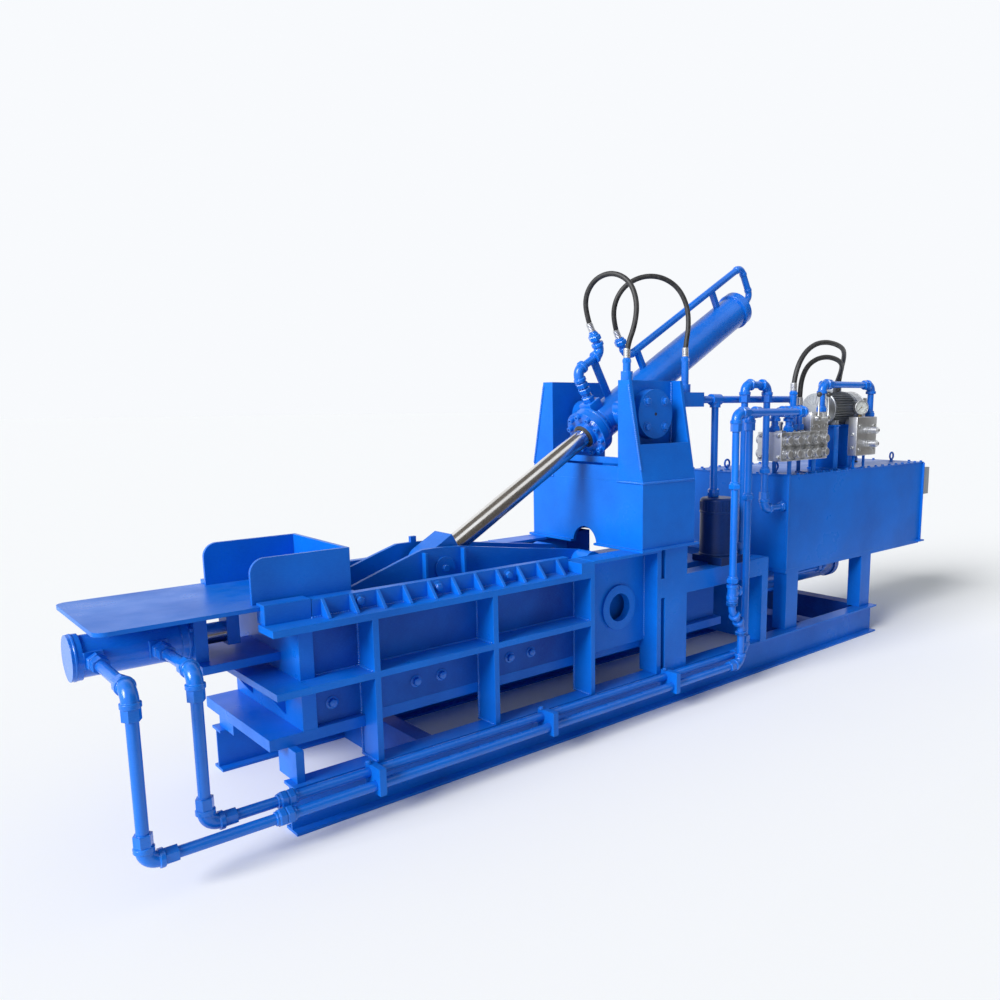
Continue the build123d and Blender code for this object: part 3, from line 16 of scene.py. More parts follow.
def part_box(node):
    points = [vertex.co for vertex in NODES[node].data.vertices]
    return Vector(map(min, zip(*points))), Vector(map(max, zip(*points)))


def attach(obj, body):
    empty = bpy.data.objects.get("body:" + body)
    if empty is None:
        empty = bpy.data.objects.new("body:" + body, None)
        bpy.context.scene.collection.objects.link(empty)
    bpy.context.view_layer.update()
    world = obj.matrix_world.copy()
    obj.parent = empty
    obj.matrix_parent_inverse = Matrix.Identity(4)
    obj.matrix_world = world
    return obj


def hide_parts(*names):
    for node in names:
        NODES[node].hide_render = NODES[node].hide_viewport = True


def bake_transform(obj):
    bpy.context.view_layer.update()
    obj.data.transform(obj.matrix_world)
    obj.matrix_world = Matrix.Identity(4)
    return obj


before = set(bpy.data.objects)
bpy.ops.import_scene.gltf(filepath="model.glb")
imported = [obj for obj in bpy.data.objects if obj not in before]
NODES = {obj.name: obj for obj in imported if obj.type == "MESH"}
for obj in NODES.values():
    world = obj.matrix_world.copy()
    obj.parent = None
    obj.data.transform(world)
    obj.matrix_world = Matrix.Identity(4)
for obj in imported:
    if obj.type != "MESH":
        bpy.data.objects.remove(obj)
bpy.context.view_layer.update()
PI_HALF = pi / 2


def clear_selection():
    if bpy.context.object is not None and bpy.context.object.mode != "OBJECT":
        bpy.ops.object.mode_set(mode="OBJECT")
    bpy.ops.object.select_all(action="DESELECT")


clear_selection()

# %% [markdown]
# ## The camera
# The photograph was taken at eye height, off the press's front corner, with a fairly wide
# lens. The camera could be moved by eye until the picture fits, but it was solved from the
# edges of the base beams, the chamber and the tank. So it is set by plain numbers: where it
# stands, where it looks and how far the picture is shifted from the lens's axis.

# %% Camera
CAMERA_PLACE = (-1.889, -3.493, 1.670)
CAMERA_HEADING = -42.36
CAMERA_TILT = 80.82
CAMERA_ROLL = -0.27
CAMERA_LENS = 30.607
CAMERA_SHIFT = (-0.0855, 0.0393)

bpy.ops.object.camera_add(location=CAMERA_PLACE)
camera = bpy.context.object
camera.name = "camera"
turn = Matrix.Rotation(radians(CAMERA_HEADING), 4, "Z")
turn = turn @ Matrix.Rotation(radians(CAMERA_TILT), 4, "X")
turn = turn @ Matrix.Rotation(radians(CAMERA_ROLL), 4, "Z")
camera.rotation_euler = turn.to_euler()
camera.data.lens = CAMERA_LENS
camera.data.sensor_width = 36
camera.data.shift_x, camera.data.shift_y = CAMERA_SHIFT
camera.data.clip_end = 400
bpy.context.scene.camera = camera
print("camera at", CAMERA_PLACE, "with a lens of", CAMERA_LENS, "mm")

# %% [markdown]
# ## The sky and the backdrop
# A pale studio suits a painted machine. The backdrop could be a bent sheet behind the
# machine, but its edge would show from some side. So it is the world itself: camera and
# mirror rays see one pale, even tone, and all other rays get an even, faintly blue sky that
# gives the shadows their colour.

# %% World
SKY_LIGHT = 0.42
SKY_COLOUR = (0.90, 0.95, 1.0, 1)
BACKDROP_COLOUR = (0.940, 0.957, 0.984, 1)

scene = bpy.context.scene
scene.view_settings.view_transform = "Standard"
world = bpy.data.worlds.new("studio")
scene.world = world
world.use_nodes = True
world_nodes = world.node_tree.nodes
links = world.node_tree.links
sky = world_nodes["Background"]
sky.inputs["Color"].default_value = SKY_COLOUR
sky.inputs["Strength"].default_value = SKY_LIGHT
backdrop = world_nodes.new("ShaderNodeBackground")
backdrop.inputs["Color"].default_value = BACKDROP_COLOUR
rays = world_nodes.new("ShaderNodeLightPath")
seen = world_nodes.new("ShaderNodeMath")
mirrored = world_nodes.new("ShaderNodeMath")
seen.operation = mirrored.operation = "MAXIMUM"
choose = world_nodes.new("ShaderNodeMixShader")
links.new(rays.outputs["Is Glossy Ray"], mirrored.inputs[0])
links.new(rays.outputs["Is Transmission Ray"], mirrored.inputs[1])
links.new(rays.outputs["Is Camera Ray"], seen.inputs[0])
links.new(mirrored.outputs[0], seen.inputs[1])
links.new(seen.outputs[0], choose.inputs[0])
links.new(sky.outputs[0], choose.inputs[1])
links.new(backdrop.outputs[0], choose.inputs[2])
links.new(choose.outputs[0], world_nodes["World Output"].inputs["Surface"])
print("sky strength", SKY_LIGHT)

# %% [markdown]
# ## Sun and floor
# One wide, soft sun gives the shape. It stands low before the front of the machine, so the
# plates that face the front are bright and the long near side lies in half shade, as in the
# photograph. A sun has no fall-off, so the floor is equally bright everywhere and meets the
# backdrop with no line.

# %% Sun and floor
SUN_LIGHT = 4.2
SUN_SOFTNESS = 28
SUN_TILT = 62
SUN_HEADING = -85
FLOOR_SIZE = 240
FLOOR_COLOUR = (0.93, 0.93, 0.93, 1)

bpy.ops.object.light_add(type="SUN", rotation=(radians(SUN_TILT), 0, radians(SUN_HEADING)))
sun = bpy.context.object
sun.data.energy = SUN_LIGHT
sun.data.angle = radians(SUN_SOFTNESS)

bpy.ops.mesh.primitive_plane_add(size=FLOOR_SIZE)
floor = bpy.context.object
floor.name = "floor"
floor_paint = bpy.data.materials.new("floor")
floor_paint.use_nodes = True
floor_shader = floor_paint.node_tree.nodes["Principled BSDF"]
floor_shader.inputs["Base Color"].default_value = FLOOR_COLOUR
floor_shader.inputs["Roughness"].default_value = 0.9
floor_shader.inputs["Specular IOR Level"].default_value = 0.1
floor.data.materials.append(floor_paint)
print("sun", SUN_LIGHT, "over a floor of", FLOOR_SIZE, "m")

# %% [markdown]
# ## Flags for the chrome
# A mirror in an all-white room looks flat. Photographers stand dark panels out of sight,
# called flags, so that a chrome rod gets a dark line along it and reads as round. One stands
# beside the machine, one lies on the floor, where the tank's side would mirror it, and one
# hangs overhead, for the dark line along the top of the sloping rod. They are seen by mirror
# rays alone: they cast no shadow and the camera doesn't see them.

# %% Dark flags
FLAG_TONE = (0.16, 0.14, 0.12, 1)
FLAGS = {"beside": ((11.0, -8.0, 3.2), (26, 1, 9.4)),
         "on the floor": ((11.0, -5.0, 0.02), (26, 6, 0.02)),
         "overhead": ((1.0, 0.75, 8.0), (7.0, 6.3, 0.02))}

flag_paint = bpy.data.materials.new("flag")
flag_paint.use_nodes = True
flag_shader = flag_paint.node_tree.nodes["Principled BSDF"]
flag_shader.inputs["Base Color"].default_value = FLAG_TONE
flag_shader.inputs["Specular IOR Level"].default_value = 0
for flag_place, flag_size in FLAGS.values():
    bpy.ops.mesh.primitive_cube_add(size=1, location=flag_place)
    flag = bpy.context.object
    flag.scale = flag_size
    flag.name = "flag"
    flag.data.materials.append(flag_paint)
    for kind in ("camera", "diffuse", "shadow", "transmission", "volume_scatter"):
        setattr(flag, "visible_" + kind, False)
print("flags", list(FLAGS))

# %% [markdown]
# ## Materials
# A finish is a small graph of nodes: noise makes patches, a ramp sets how strong they are, a
# mix gives them colour and a bump gives them depth. Drawn by hand each graph takes minutes, so
# a recipe builds it line by line. All patterns read object coordinates, so that they lie still
# on each piece. The Bevel node rounds the sharp plate edges for the light, and the
# difference between the rounded and the true normal marks the edges.


# %% A small kit for node materials
class Recipe:
    """A node material that is built line by line."""

    def __init__(self, name):
        self.material = bpy.data.materials.new(name)
        self.material.use_nodes = True
        self.tree = self.material.node_tree
        self.shader = self.tree.nodes["Principled BSDF"]
        self.place = self.node("ShaderNodeTexCoord").outputs["Object"]

    def node(self, kind, **settings):
        made = self.tree.nodes.new(kind)
        for key, value in settings.items():
            setattr(made, key, value)
        return made

    def link(self, source, target):
        self.tree.links.new(source, target)

    def noise(self, scale, detail=4.0, roughness=0.55, stretch=None):
        texture = self.node("ShaderNodeTexNoise")
        texture.inputs["Scale"].default_value = scale
        texture.inputs["Detail"].default_value = detail
        texture.inputs["Roughness"].default_value = roughness
        source = self.place
        if stretch is not None:
            mapping = self.node("ShaderNodeMapping")
            mapping.inputs["Scale"].default_value = stretch
            self.link(self.place, mapping.inputs["Vector"])
            source = mapping.outputs["Vector"]
        self.link(source, texture.inputs["Vector"])
        return texture.outputs["Fac"]

    def ramp(self, source, low, high, start=0.0, end=1.0):
        scaled = self.node("ShaderNodeMapRange")
        scaled.inputs["From Min"].default_value = start
        scaled.inputs["From Max"].default_value = end
        scaled.inputs["To Min"].default_value = low
        scaled.inputs["To Max"].default_value = high
        self.link(source, scaled.inputs["Value"])
        return scaled.outputs["Result"]

    def maths(self, operation, first, second):
        sums = self.node("ShaderNodeMath", operation=operation)
        for index, value in enumerate((first, second)):
            if isinstance(value, (int, float)):
                sums.inputs[index].default_value = value
            else:
                self.link(value, sums.inputs[index])
        return sums.outputs[0]

    def mix(self, factor, first, second):
        blend = self.node("ShaderNodeMix", data_type="RGBA")
        self.link(factor, blend.inputs["Factor"])
        for index, value in ((6, first), (7, second)):
            if isinstance(value, tuple):
                blend.inputs[index].default_value = (*value, 1)
            else:
                self.link(value, blend.inputs[index])
        return blend.outputs[2]

    def bump(self, height, strength, distance, base=None):
        bumped = self.node("ShaderNodeBump")
        bumped.inputs["Strength"].default_value = strength
        bumped.inputs["Distance"].default_value = distance
        self.link(height, bumped.inputs["Height"])
        if base is not None:
            self.link(base, bumped.inputs["Normal"])
        return bumped.outputs["Normal"]

    def edges(self, radius):
        """The rounded normal, and a mask that is 1 on plate edges."""
        rounded = self.node("ShaderNodeBevel", samples=4)
        rounded.inputs["Radius"].default_value = radius
        true = self.node("ShaderNodeNewGeometry").outputs["Normal"]
        likeness = self.node("ShaderNodeVectorMath", operation="DOT_PRODUCT")
        self.link(rounded.outputs["Normal"], likeness.inputs[0])
        self.link(true, likeness.inputs[1])
        mask = self.ramp(likeness.outputs["Value"], 1.0, 0.0, 0.78, 0.99)
        return rounded.outputs["Normal"], mask

    def upward(self):
        """1 where a face looks up, 0 where it doesn't."""
        split = self.node("ShaderNodeSeparateXYZ")
        self.link(self.node("ShaderNodeNewGeometry").outputs["Normal"], split.inputs[0])
        return self.ramp(split.outputs["Z"], 0.0, 1.0, 0.3, 0.95)

    def finish(self, colour=None, roughness=None, normal=None, **fixed):
        if colour is not None:
            if isinstance(colour, tuple):
                self.shader.inputs["Base Color"].default_value = (*colour, 1)
            else:
                self.link(colour, self.shader.inputs["Base Color"])
        if roughness is not None:
            if isinstance(roughness, (int, float)):
                self.shader.inputs["Roughness"].default_value = roughness
            else:
                self.link(roughness, self.shader.inputs["Roughness"])
        if normal is not None:
            self.link(normal, self.shader.inputs["Normal"])
        for socket, value in fixed.items():
            self.shader.inputs[socket.replace("_", " ")].default_value = value
        return self.material


# %% [markdown]
# ## The blue enamel
# Almost everything is one blue enamel, put on by brush and gun over welded plate. Up close it
# shows long faint brush marks, a little waviness and dust on what faces up. Its edges are
# paler, partly from thin, worn paint and partly as a painted highlight. One recipe makes every
# variant: the brush marks are noise that is stretched along the plate, and gloss and the pale
# edges are its other two settings.


# %% Blue enamel
BLUE = (0.002, 0.150, 0.680)
DEEP_BLUE = (0.0015, 0.105, 0.520)
PALE_BLUE = (0.030, 0.300, 0.860)
DUST = (0.16, 0.30, 0.56)


def enamel(name, base=BLUE, deep=DEEP_BLUE, pale=PALE_BLUE, brush=(3, 3, 30), gloss=0.30,
           edge_wear_and_highlight=0.5, shine=0.20):
    r = Recipe(name)
    normal, edge = r.edges(0.0035)
    cloud = r.noise(2.3, detail=6)
    colour = r.mix(r.ramp(cloud, 0.0, 1.0, 0.35, 0.68), base, deep)
    strokes = r.noise(26, detail=3, stretch=brush)
    colour = r.mix(r.ramp(strokes, 0.0, 0.16, 0.45, 0.72), colour, pale)
    dust = r.maths("MULTIPLY", r.upward(), r.ramp(r.noise(9, detail=8), 0.0, 0.12, 0.4, 0.75))
    colour = r.mix(dust, colour, DUST)
    # edges paler: partly worn paint, partly a painted highlight
    worn = r.maths("MULTIPLY", edge, r.ramp(r.noise(14, detail=5), 0.1, edge_wear_and_highlight, 0.35, 0.65))
    colour = r.mix(worn, colour, pale)
    rough = r.maths("ADD", r.ramp(cloud, gloss - 0.06, gloss + 0.10, 0.3, 0.7),
                    r.maths("MULTIPLY", dust, 0.9))
    normal = r.bump(r.noise(7, detail=3), 0.16, 0.01, normal)
    normal = r.bump(strokes, 0.10, 0.002, normal)
    normal = r.bump(r.noise(420, detail=2), 0.05, 0.0006, normal)
    return r.finish(colour, rough, normal, Specular_IOR_Level=shine)


blue = enamel("blue_enamel")
blue_long = enamel("blue_enamel_long_plates", brush=(1.2, 30, 30))
blue_pipe = enamel("blue_enamel_pipes", gloss=0.19, edge_wear_and_highlight=0.7, shine=0.5)
# painted shade: a darker copy of the enamel for parts that lie in shade
blue_painted_shade = enamel("blue_enamel_painted_shade", base=DEEP_BLUE, deep=(0.003, 0.030, 0.26),
                    gloss=0.42)
blue_worn = enamel("blue_enamel_worn", base=DEEP_BLUE, gloss=0.40, edge_wear_and_highlight=1.0)
dark_paint = enamel("dark_paint", base=(0.003, 0.026, 0.150), deep=(0.002, 0.014, 0.080),
                    pale=(0.03, 0.12, 0.42), gloss=0.32)
ENAMELS = (blue, blue_long, blue_pipe, blue_painted_shade, blue_worn, dark_paint)
print("enamels", [enamel_paint.name for enamel_paint in ENAMELS])

# %% [markdown]
# ## Bare metals
# The rods are hard chrome: a mirror with the faintest turned lines and an oil film. Where a
# rod faces down, its colour is painted darker and browner, a painted reflection of the ground
# below it. Bolts are zinc plated, the valves and the motor are bare cast and machined alloy,
# and the hinge shaft is scraped steel. Each gets grain at its own scale, so one recipe with a
# few settings makes them all.

# %% Metals
CHROME_BRIGHT = (0.90, 0.89, 0.87)
CHROME_FILM = (0.74, 0.72, 0.69)
# painted reflection: the dark brown of the rods' down-facing sides stands in for mirrored ground
CHROME_PAINTED_REFLECTION = (0.20, 0.165, 0.14)


def chrome(name):
    r = Recipe(name)
    film = r.noise(3.5, detail=7, stretch=(0.6, 3, 3))
    colour = r.mix(r.ramp(film, 0, 1, 0.35, 0.7), CHROME_BRIGHT, CHROME_FILM)
    split = r.node("ShaderNodeSeparateXYZ")
    r.link(r.node("ShaderNodeNewGeometry").outputs["Normal"], split.inputs[0])
    # painted reflection: the colour gets darker and browner as the face turns down
    under = r.ramp(split.outputs["Z"], 1.0, 0.0, -0.90, 0.40)
    colour = r.mix(under, colour, CHROME_PAINTED_REFLECTION)
    rough = r.maths("ADD", r.ramp(film, 0.17, 0.27, 0.3, 0.8), r.maths("MULTIPLY", under, 0.10))
    normal = r.bump(r.noise(160, detail=2, stretch=(4, 1, 1)), 0.04, 0.0004)
    return r.finish(colour, rough, normal, Metallic=1.0)


def machined(name, bright, dull, rough=0.32, grain=260, stain=(0.16, 0.13, 0.10)):
    r = Recipe(name)
    normal, _ = r.edges(0.0015)
    patches = r.noise(11, detail=7)
    colour = r.mix(r.ramp(patches, 0, 1, 0.3, 0.7), bright, dull)
    colour = r.mix(r.ramp(r.noise(34, detail=6), 0, 0.5, 0.62, 0.80), colour, stain)
    roughness = r.ramp(patches, rough - 0.06, rough + 0.16, 0.25, 0.75)
    normal = r.bump(r.noise(grain, detail=3), 0.10, 0.0006, normal)
    return r.finish(colour, roughness, normal, Metallic=0.92)


rod_chrome = chrome("hard_chrome")
zinc = machined("zinc_bolts", (0.66, 0.67, 0.66), (0.46, 0.47, 0.47), rough=0.34)
alloy = machined("bare_alloy", (0.70, 0.71, 0.72), (0.50, 0.51, 0.53), rough=0.36, grain=180)
cast = machined("cast_casing", (0.50, 0.52, 0.54), (0.34, 0.36, 0.38), rough=0.48, grain=90)
scraped = machined("scraped_steel", (0.42, 0.42, 0.42), (0.24, 0.22, 0.21), rough=0.40, grain=70,
                   stain=(0.20, 0.09, 0.045))
bronze = machined("bronze_fittings", (0.62, 0.46, 0.20), (0.42, 0.29, 0.12), rough=0.30)
print("metals", [metal.name for metal in (rod_chrome, zinc, alloy, cast, scraped, bronze)])

# %% [markdown]
# ## Rubber, plastic and glass
# Hose rubber is nearly black and dull, with the faint weave of the cloth that it was cured in.
# Plastic parts are moulded, so they get a fine even grain. The gauge's glass has a thin haze
# of fingerprints in its roughness, because a perfectly clean pane would hardly be seen.


# %% Rubber, plastic, glass and the dial
def hose_rubber(name):
    r = Recipe(name)
    scuffs = r.noise(60, detail=6)
    colour = r.mix(r.ramp(scuffs, 0, 1, 0.4, 0.8), (0.012, 0.012, 0.013), (0.045, 0.045, 0.047))
    weave = r.noise(700, detail=2)
    normal = r.bump(weave, 0.25, 0.0008)
    normal = r.bump(r.noise(90, detail=3), 0.2, 0.002, normal)
    return r.finish(colour, r.ramp(scuffs, 0.42, 0.66, 0.3, 0.7), normal)


def moulded(name, colour, rough):
    r = Recipe(name)
    normal, _ = r.edges(0.002)
    tone = r.mix(r.ramp(r.noise(8, detail=6), 0, 0.25, 0.4, 0.7), colour, (0.2, 0.2, 0.2))
    normal = r.bump(r.noise(500, detail=2), 0.12, 0.0006, normal)
    return r.finish(tone, r.ramp(r.noise(30), rough - 0.05, rough + 0.1, 0.3, 0.7), normal)


def dial_glass(name):
    r = Recipe(name)
    haze = r.ramp(r.noise(40, detail=4), 0.02, 0.10, 0.3, 0.8)
    return r.finish((0.95, 0.97, 0.98), haze, None, Transmission_Weight=1.0, IOR=1.45)


rubber = hose_rubber("hose_rubber")
grey_plastic = moulded("grey_plastic", (0.30, 0.32, 0.35), 0.45)
black_plastic = moulded("black_plastic", (0.015, 0.015, 0.016), 0.35)
dial_face = moulded("dial_face", (0.82, 0.82, 0.78), 0.5)
glass = dial_glass("gauge_glass")
OTHERS = (rubber, grey_plastic, black_plastic, dial_face, glass)
print("other finishes", [other.name for other in OTHERS])

# %% [markdown]
# ## Painting the CAD nodes
# Each CAD node keeps its shape and gets the finish of the real piece. Long plates and beams
# take the enamel whose brush marks run along X; standing plates take the upright one. The
# side walls and the base crosses take a darker copy of the enamel, which is painted shade.

# %% Which finish goes on which node
FINISHES = (
    (blue_long, ("base_beam_near", "base_beam_far", "chamber_floor", "rib_frame_near",
                 "rib_frame_far", "shear_bar_near", "shear_bar_far", "lock_tray", "lid_plate",
                 "lid_web_near", "lid_web_far", "cylinder_frame")),
    # painted shade: these parts lie in shade and take the darker copy of the enamel
    (blue_painted_shade, ("base_crosses", "side_wall_near", "side_wall_far")),
    (blue, ("end_wall", "hinge_plate_near", "hinge_plate_far", "lock_guide_near",
            "lock_guide_far", "lock_guard", "lock_mount", "lid_rod_head", "tower_base",
            "tower_side_near", "tower_side_far", "tower_cross", "oil_tank", "tank_stand",
            "pipe_clamps")),
    (blue_pipe, ("lock_cylinder", "lid_barrel", "lid_gland", "lid_lines", "main_cylinder",
                 "line_lock_outer", "line_lock_inner", "line_tower", "line_tank", "hose_posts",
                 "lid_pin")),
    (blue_worn, ("ram",)),
    (rod_chrome, ("lock_rod", "lid_rod", "main_rod")),
    (scraped, ("lid_shaft",)),
    (zinc, ("frame_bolts", "valve_lever_1", "valve_lever_2")),
    (alloy, ("valve_bank", "pump_manifold")),
    (cast, ("pump_motor",)),
    (bronze, ("pressure_gauge",)),
    (dark_paint, ("oil_filter",)),
    (grey_plastic, ("limit_box",)),
    (rubber, ("hose_head", "hose_tail", "hose_tank_outer", "hose_tank_inner")),
)

painted = 0
for material, node_names in FINISHES:
    for node_name in node_names:
        NODES[node_name].data.materials.clear()
        NODES[node_name].data.materials.append(material)
        painted += 1
print("painted", painted, "of", len(NODES), "nodes")

# %% [markdown]
# ## Putting a piece in its place
# Every new piece is modelled up the Z axis and then laid at a point, facing one of the
# machine's six directions or a slope. Its place goes into its mesh, not into its object, so
# that patterns see it where it stands. These helpers are the moves that come back again and
# again.

# %% Facing, settling and opening a piece
FRONT, REAR = Vector((-1, 0, 0)), Vector((1, 0, 0))
NEAR, FAR = Vector((0, -1, 0)), Vector((0, 1, 0))
DOWN, UP = Vector((0, 0, -1)), Vector((0, 0, 1))


def facing(point, direction, roll=0.0):
    """The matrix that takes a piece modelled up the Z axis to a point, facing a direction."""
    turned_to = Vector(direction).normalized().to_track_quat("Z", "Y").to_matrix().to_4x4()
    return Matrix.Translation(Vector(point)) @ turned_to @ Matrix.Rotation(roll, 4, "Z")


def settle(piece, name, material, body="frame", angle=35, matrix=None):
    """Puts a finished piece's place in its mesh, smooths it, paints it and seats it on a body."""
    clear_selection()
    piece.select_set(True)
    bpy.context.view_layer.objects.active = piece
    bpy.ops.object.transform_apply(location=True, rotation=True, scale=True)
    if matrix is not None:
        piece.data.transform(matrix)
    bpy.ops.object.shade_smooth_by_angle(angle=radians(angle))
    piece.name = name
    piece.data.name = name
    piece.data.materials.clear()
    piece.data.materials.append(material)
    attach(piece, body)
    return piece


def edit(piece):
    """Opens a piece in edit mode with everything in it selected."""
    clear_selection()
    piece.select_set(True)
    bpy.context.view_layer.objects.active = piece
    bpy.ops.object.mode_set(mode="EDIT")
    bpy.ops.mesh.select_all(action="SELECT")


# %% [markdown]
# ## Blocks and turned pieces
# Most of the small pieces were cut from bar or turned on a lathe, and two helpers follow that.
# A block is a cube with its edges broken by a bevel, because a bare edge catches no light. A
# turned piece starts as a disc, whose ring is extruded and resized from station to station.


# %% Blocks and turned pieces
def block(low, high, bevel=0.003, segments=2):
    """A block between two corners with its edges broken by a bevel."""
    clear_selection()
    low, high = Vector(low), Vector(high)
    bpy.ops.mesh.primitive_cube_add(size=1, location=(low + high) / 2)
    piece = bpy.context.object
    piece.scale = high - low
    bpy.ops.object.transform_apply(location=True, scale=True)
    if bevel:
        edit(piece)
        bpy.ops.mesh.bevel(offset=bevel, segments=segments, affect="EDGES")
        bpy.ops.object.mode_set(mode="OBJECT")
    return piece


def turned(stations, sides=32):
    """A turned piece up the Z axis. Each station is a height and a radius; the first ring is
    extruded to the next height and resized, as on a lathe."""
    clear_selection()
    height, radius = stations[0]
    bpy.ops.mesh.primitive_circle_add(vertices=sides, radius=radius, fill_type="NGON",
                                      location=(0, 0, height))
    piece = bpy.context.object
    bpy.ops.object.transform_apply(location=True)
    edit(piece)
    for next_height, next_radius in stations[1:]:
        rise = {"value": (0, 0, next_height - height)}
        bpy.ops.mesh.extrude_region_move(TRANSFORM_OT_translate=rise)
        share = next_radius / radius
        bpy.ops.transform.resize(value=(share, share, 1), center_override=(0, 0, next_height))
        height, radius = next_height, next_radius
    bpy.ops.mesh.select_all(action="SELECT")
    bpy.ops.mesh.normals_make_consistent(inside=False)
    bpy.ops.object.mode_set(mode="OBJECT")
    return piece


# %% [markdown]
# ## Copies, joins and measures
# What repeats is modelled once and copied, each copy with a mesh of its own. Pieces that are
# fixed to each other are then joined into one mesh, so the scene stays short. Where a new piece
# sits on a CAD solid, its place is read from that solid's box.


# %% Copies, joins and measures
def copies(model, matrices):
    """Copies of a finished model, each with a mesh of its own, at each matrix."""
    made = []
    for matrix in matrices:
        copy = model.copy()
        copy.data = model.data.copy()
        copy.data.transform(matrix)
        bpy.context.scene.collection.objects.link(copy)
        made.append(copy)
    return made


def scrap(model):
    bpy.data.objects.remove(model, do_unlink=True)


def join(pieces):
    """Several pieces made into one mesh."""
    clear_selection()
    for piece in pieces:
        piece.select_set(True)
    bpy.context.view_layer.objects.active = pieces[0]
    if len(pieces) > 1:
        bpy.ops.object.join()
    return bpy.context.object


def low_high(node_name):
    low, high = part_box(node_name)
    return Vector(low), Vector(high)


# %% [markdown]
# ## Bolts and cap screws
# Two fasteners hold most of the machine together: a hexagon on a washer, with the end of its
# stud, and a socket cap screw. Each is modelled once, in two sizes. The hexagon's corners are
# turned down by a chamfer, which is what makes a bolt head read as a bolt head. The screw's
# socket is its top face, inset and pushed down.


# %% Fastener models
def hexagon_bolt(across, height):
    radius = across / 2 / cos(pi / 6)
    head = turned([(0.0, radius), (height * 0.78, radius), (height, radius * 0.84)], sides=6)
    edit(head)
    bpy.ops.mesh.bevel(offset=across * 0.025, segments=2, affect="EDGES")
    bpy.ops.object.mode_set(mode="OBJECT")
    under = across * 0.10
    washer = turned([(0.0, across * 0.82), (under * 0.7, across * 0.82),
                     (under, across * 0.76)], sides=24)
    head.data.transform(Matrix.Translation((0, 0, under)))
    stub = turned([(height * 0.9, across * 0.26), (height * 1.12, across * 0.26),
                   (height * 1.18, across * 0.20)], sides=12)
    return join([head, washer, stub])


def cap_screw(diameter, height):
    radius = diameter / 2
    socket_depth = height * 0.5
    body = turned([(0, radius), (height * 0.88, radius), (height, radius * 0.88)], sides=20)
    edit(body)
    bpy.ops.mesh.select_all(action="DESELECT")
    bpy.ops.object.mode_set(mode="OBJECT")
    top = max(body.data.polygons, key=lambda face: face.center.z)
    top.select = True
    bpy.ops.object.mode_set(mode="EDIT")
    bpy.ops.mesh.inset(thickness=radius * 0.38)
    bpy.ops.mesh.extrude_region_move(TRANSFORM_OT_translate={"value": (0, 0, -socket_depth)})
    bpy.ops.object.mode_set(mode="OBJECT")
    return body


bolt_large = hexagon_bolt(0.034, 0.016)
bolt_small = hexagon_bolt(0.019, 0.009)
screw_large = cap_screw(0.030, 0.022)
screw_small = cap_screw(0.012, 0.009)
print("bolt faces", len(bolt_large.data.polygons), "screw faces", len(screw_large.data.polygons))

# %% [markdown]
# ## The bolts along the chamber
# The chamber's liners and the shear bars are held by bolts whose heads stand on the outer
# faces. The CAD heads are plain hexagons, so a detailed bolt with its washer goes over each
# place, found from the solids of the node itself.


# %% Finding the solids of a node
def islands(node_name):
    """The lowest and highest corner of each separate solid in a node."""
    mesh = bmesh.new()
    mesh.from_mesh(NODES[node_name].data)
    bmesh.ops.remove_doubles(mesh, verts=mesh.verts, dist=1e-5)
    found, seen_verts = [], set()
    for first in mesh.verts:
        if first in seen_verts:
            continue
        group, queue = [], [first]
        seen_verts.add(first)
        while queue:
            vertex = queue.pop()
            group.append(vertex.co.copy())
            for edge in vertex.link_edges:
                other = edge.other_vert(vertex)
                if other not in seen_verts:
                    seen_verts.add(other)
                    queue.append(other)
        low = Vector(min(p[i] for p in group) for i in range(3))
        high = Vector(max(p[i] for p in group) for i in range(3))
        found.append((low, high))
    mesh.free()
    return found


bolt_solids = islands("frame_bolts")
print("bolt solids", len(bolt_solids))

# %% Bolts in the places of the CAD heads
ROLL_PER_METRE = 7

bolt_places = []
for low, high in bolt_solids:
    side = -1 if high.y < 0 else 1
    seat = high.y if side < 0 else low.y
    bolt_places.append(facing(((low.x + high.x) / 2, seat, (low.z + high.z) / 2), (0, side, 0),
                              roll=low.x * ROLL_PER_METRE))
chamber_bolts = settle(join(copies(bolt_large, bolt_places)), "chamber_bolt_heads", blue_pipe)
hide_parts("frame_bolts")
print("bolts placed", len(bolt_places))

# %% [markdown]
# ## Weld beads
# Every plate of the machine meets the next in a fillet weld, painted over. A bead is a row of
# small overlapping scales, like a line of coins pushed over. One scale is a squashed sphere,
# and an Array modifier lays it along the seam. Beads run only where an eye can follow them.

# %% A bead along a seam
BEAD_STEP = 0.011
BEAD = 0.0075
THIN_BEAD = 0.006
HEAVY_BEAD = 0.010
SCALE_LEAN = 24

seams = []


def bead(start, end, size):
    """A row of weld scales from start to end."""
    start, end = Vector(start), Vector(end)
    clear_selection()
    bpy.ops.mesh.primitive_uv_sphere_add(segments=8, ring_count=5, radius=size)
    scale = bpy.context.object
    scale.data.transform(Matrix.Diagonal((1, 1, 1.15, 1)))
    edit(scale)
    bpy.ops.transform.rotate(value=radians(SCALE_LEAN), orient_axis="X",
                             center_override=(0, 0, 0))
    bpy.ops.object.mode_set(mode="OBJECT")
    row = scale.modifiers.new("row", "ARRAY")
    row.use_relative_offset = False
    row.use_constant_offset = True
    row.constant_offset_displace = (0, 0, BEAD_STEP)
    row.count = max(2, int((end - start).length / BEAD_STEP))
    bpy.ops.object.modifier_apply(modifier=row.name)
    scale.data.transform(facing(start, end - start))
    return scale


def seam(start, end, size=BEAD):
    seams.append(bead(start, end, size))


print("a bead has a scale every", BEAD_STEP * 1000, "mm")

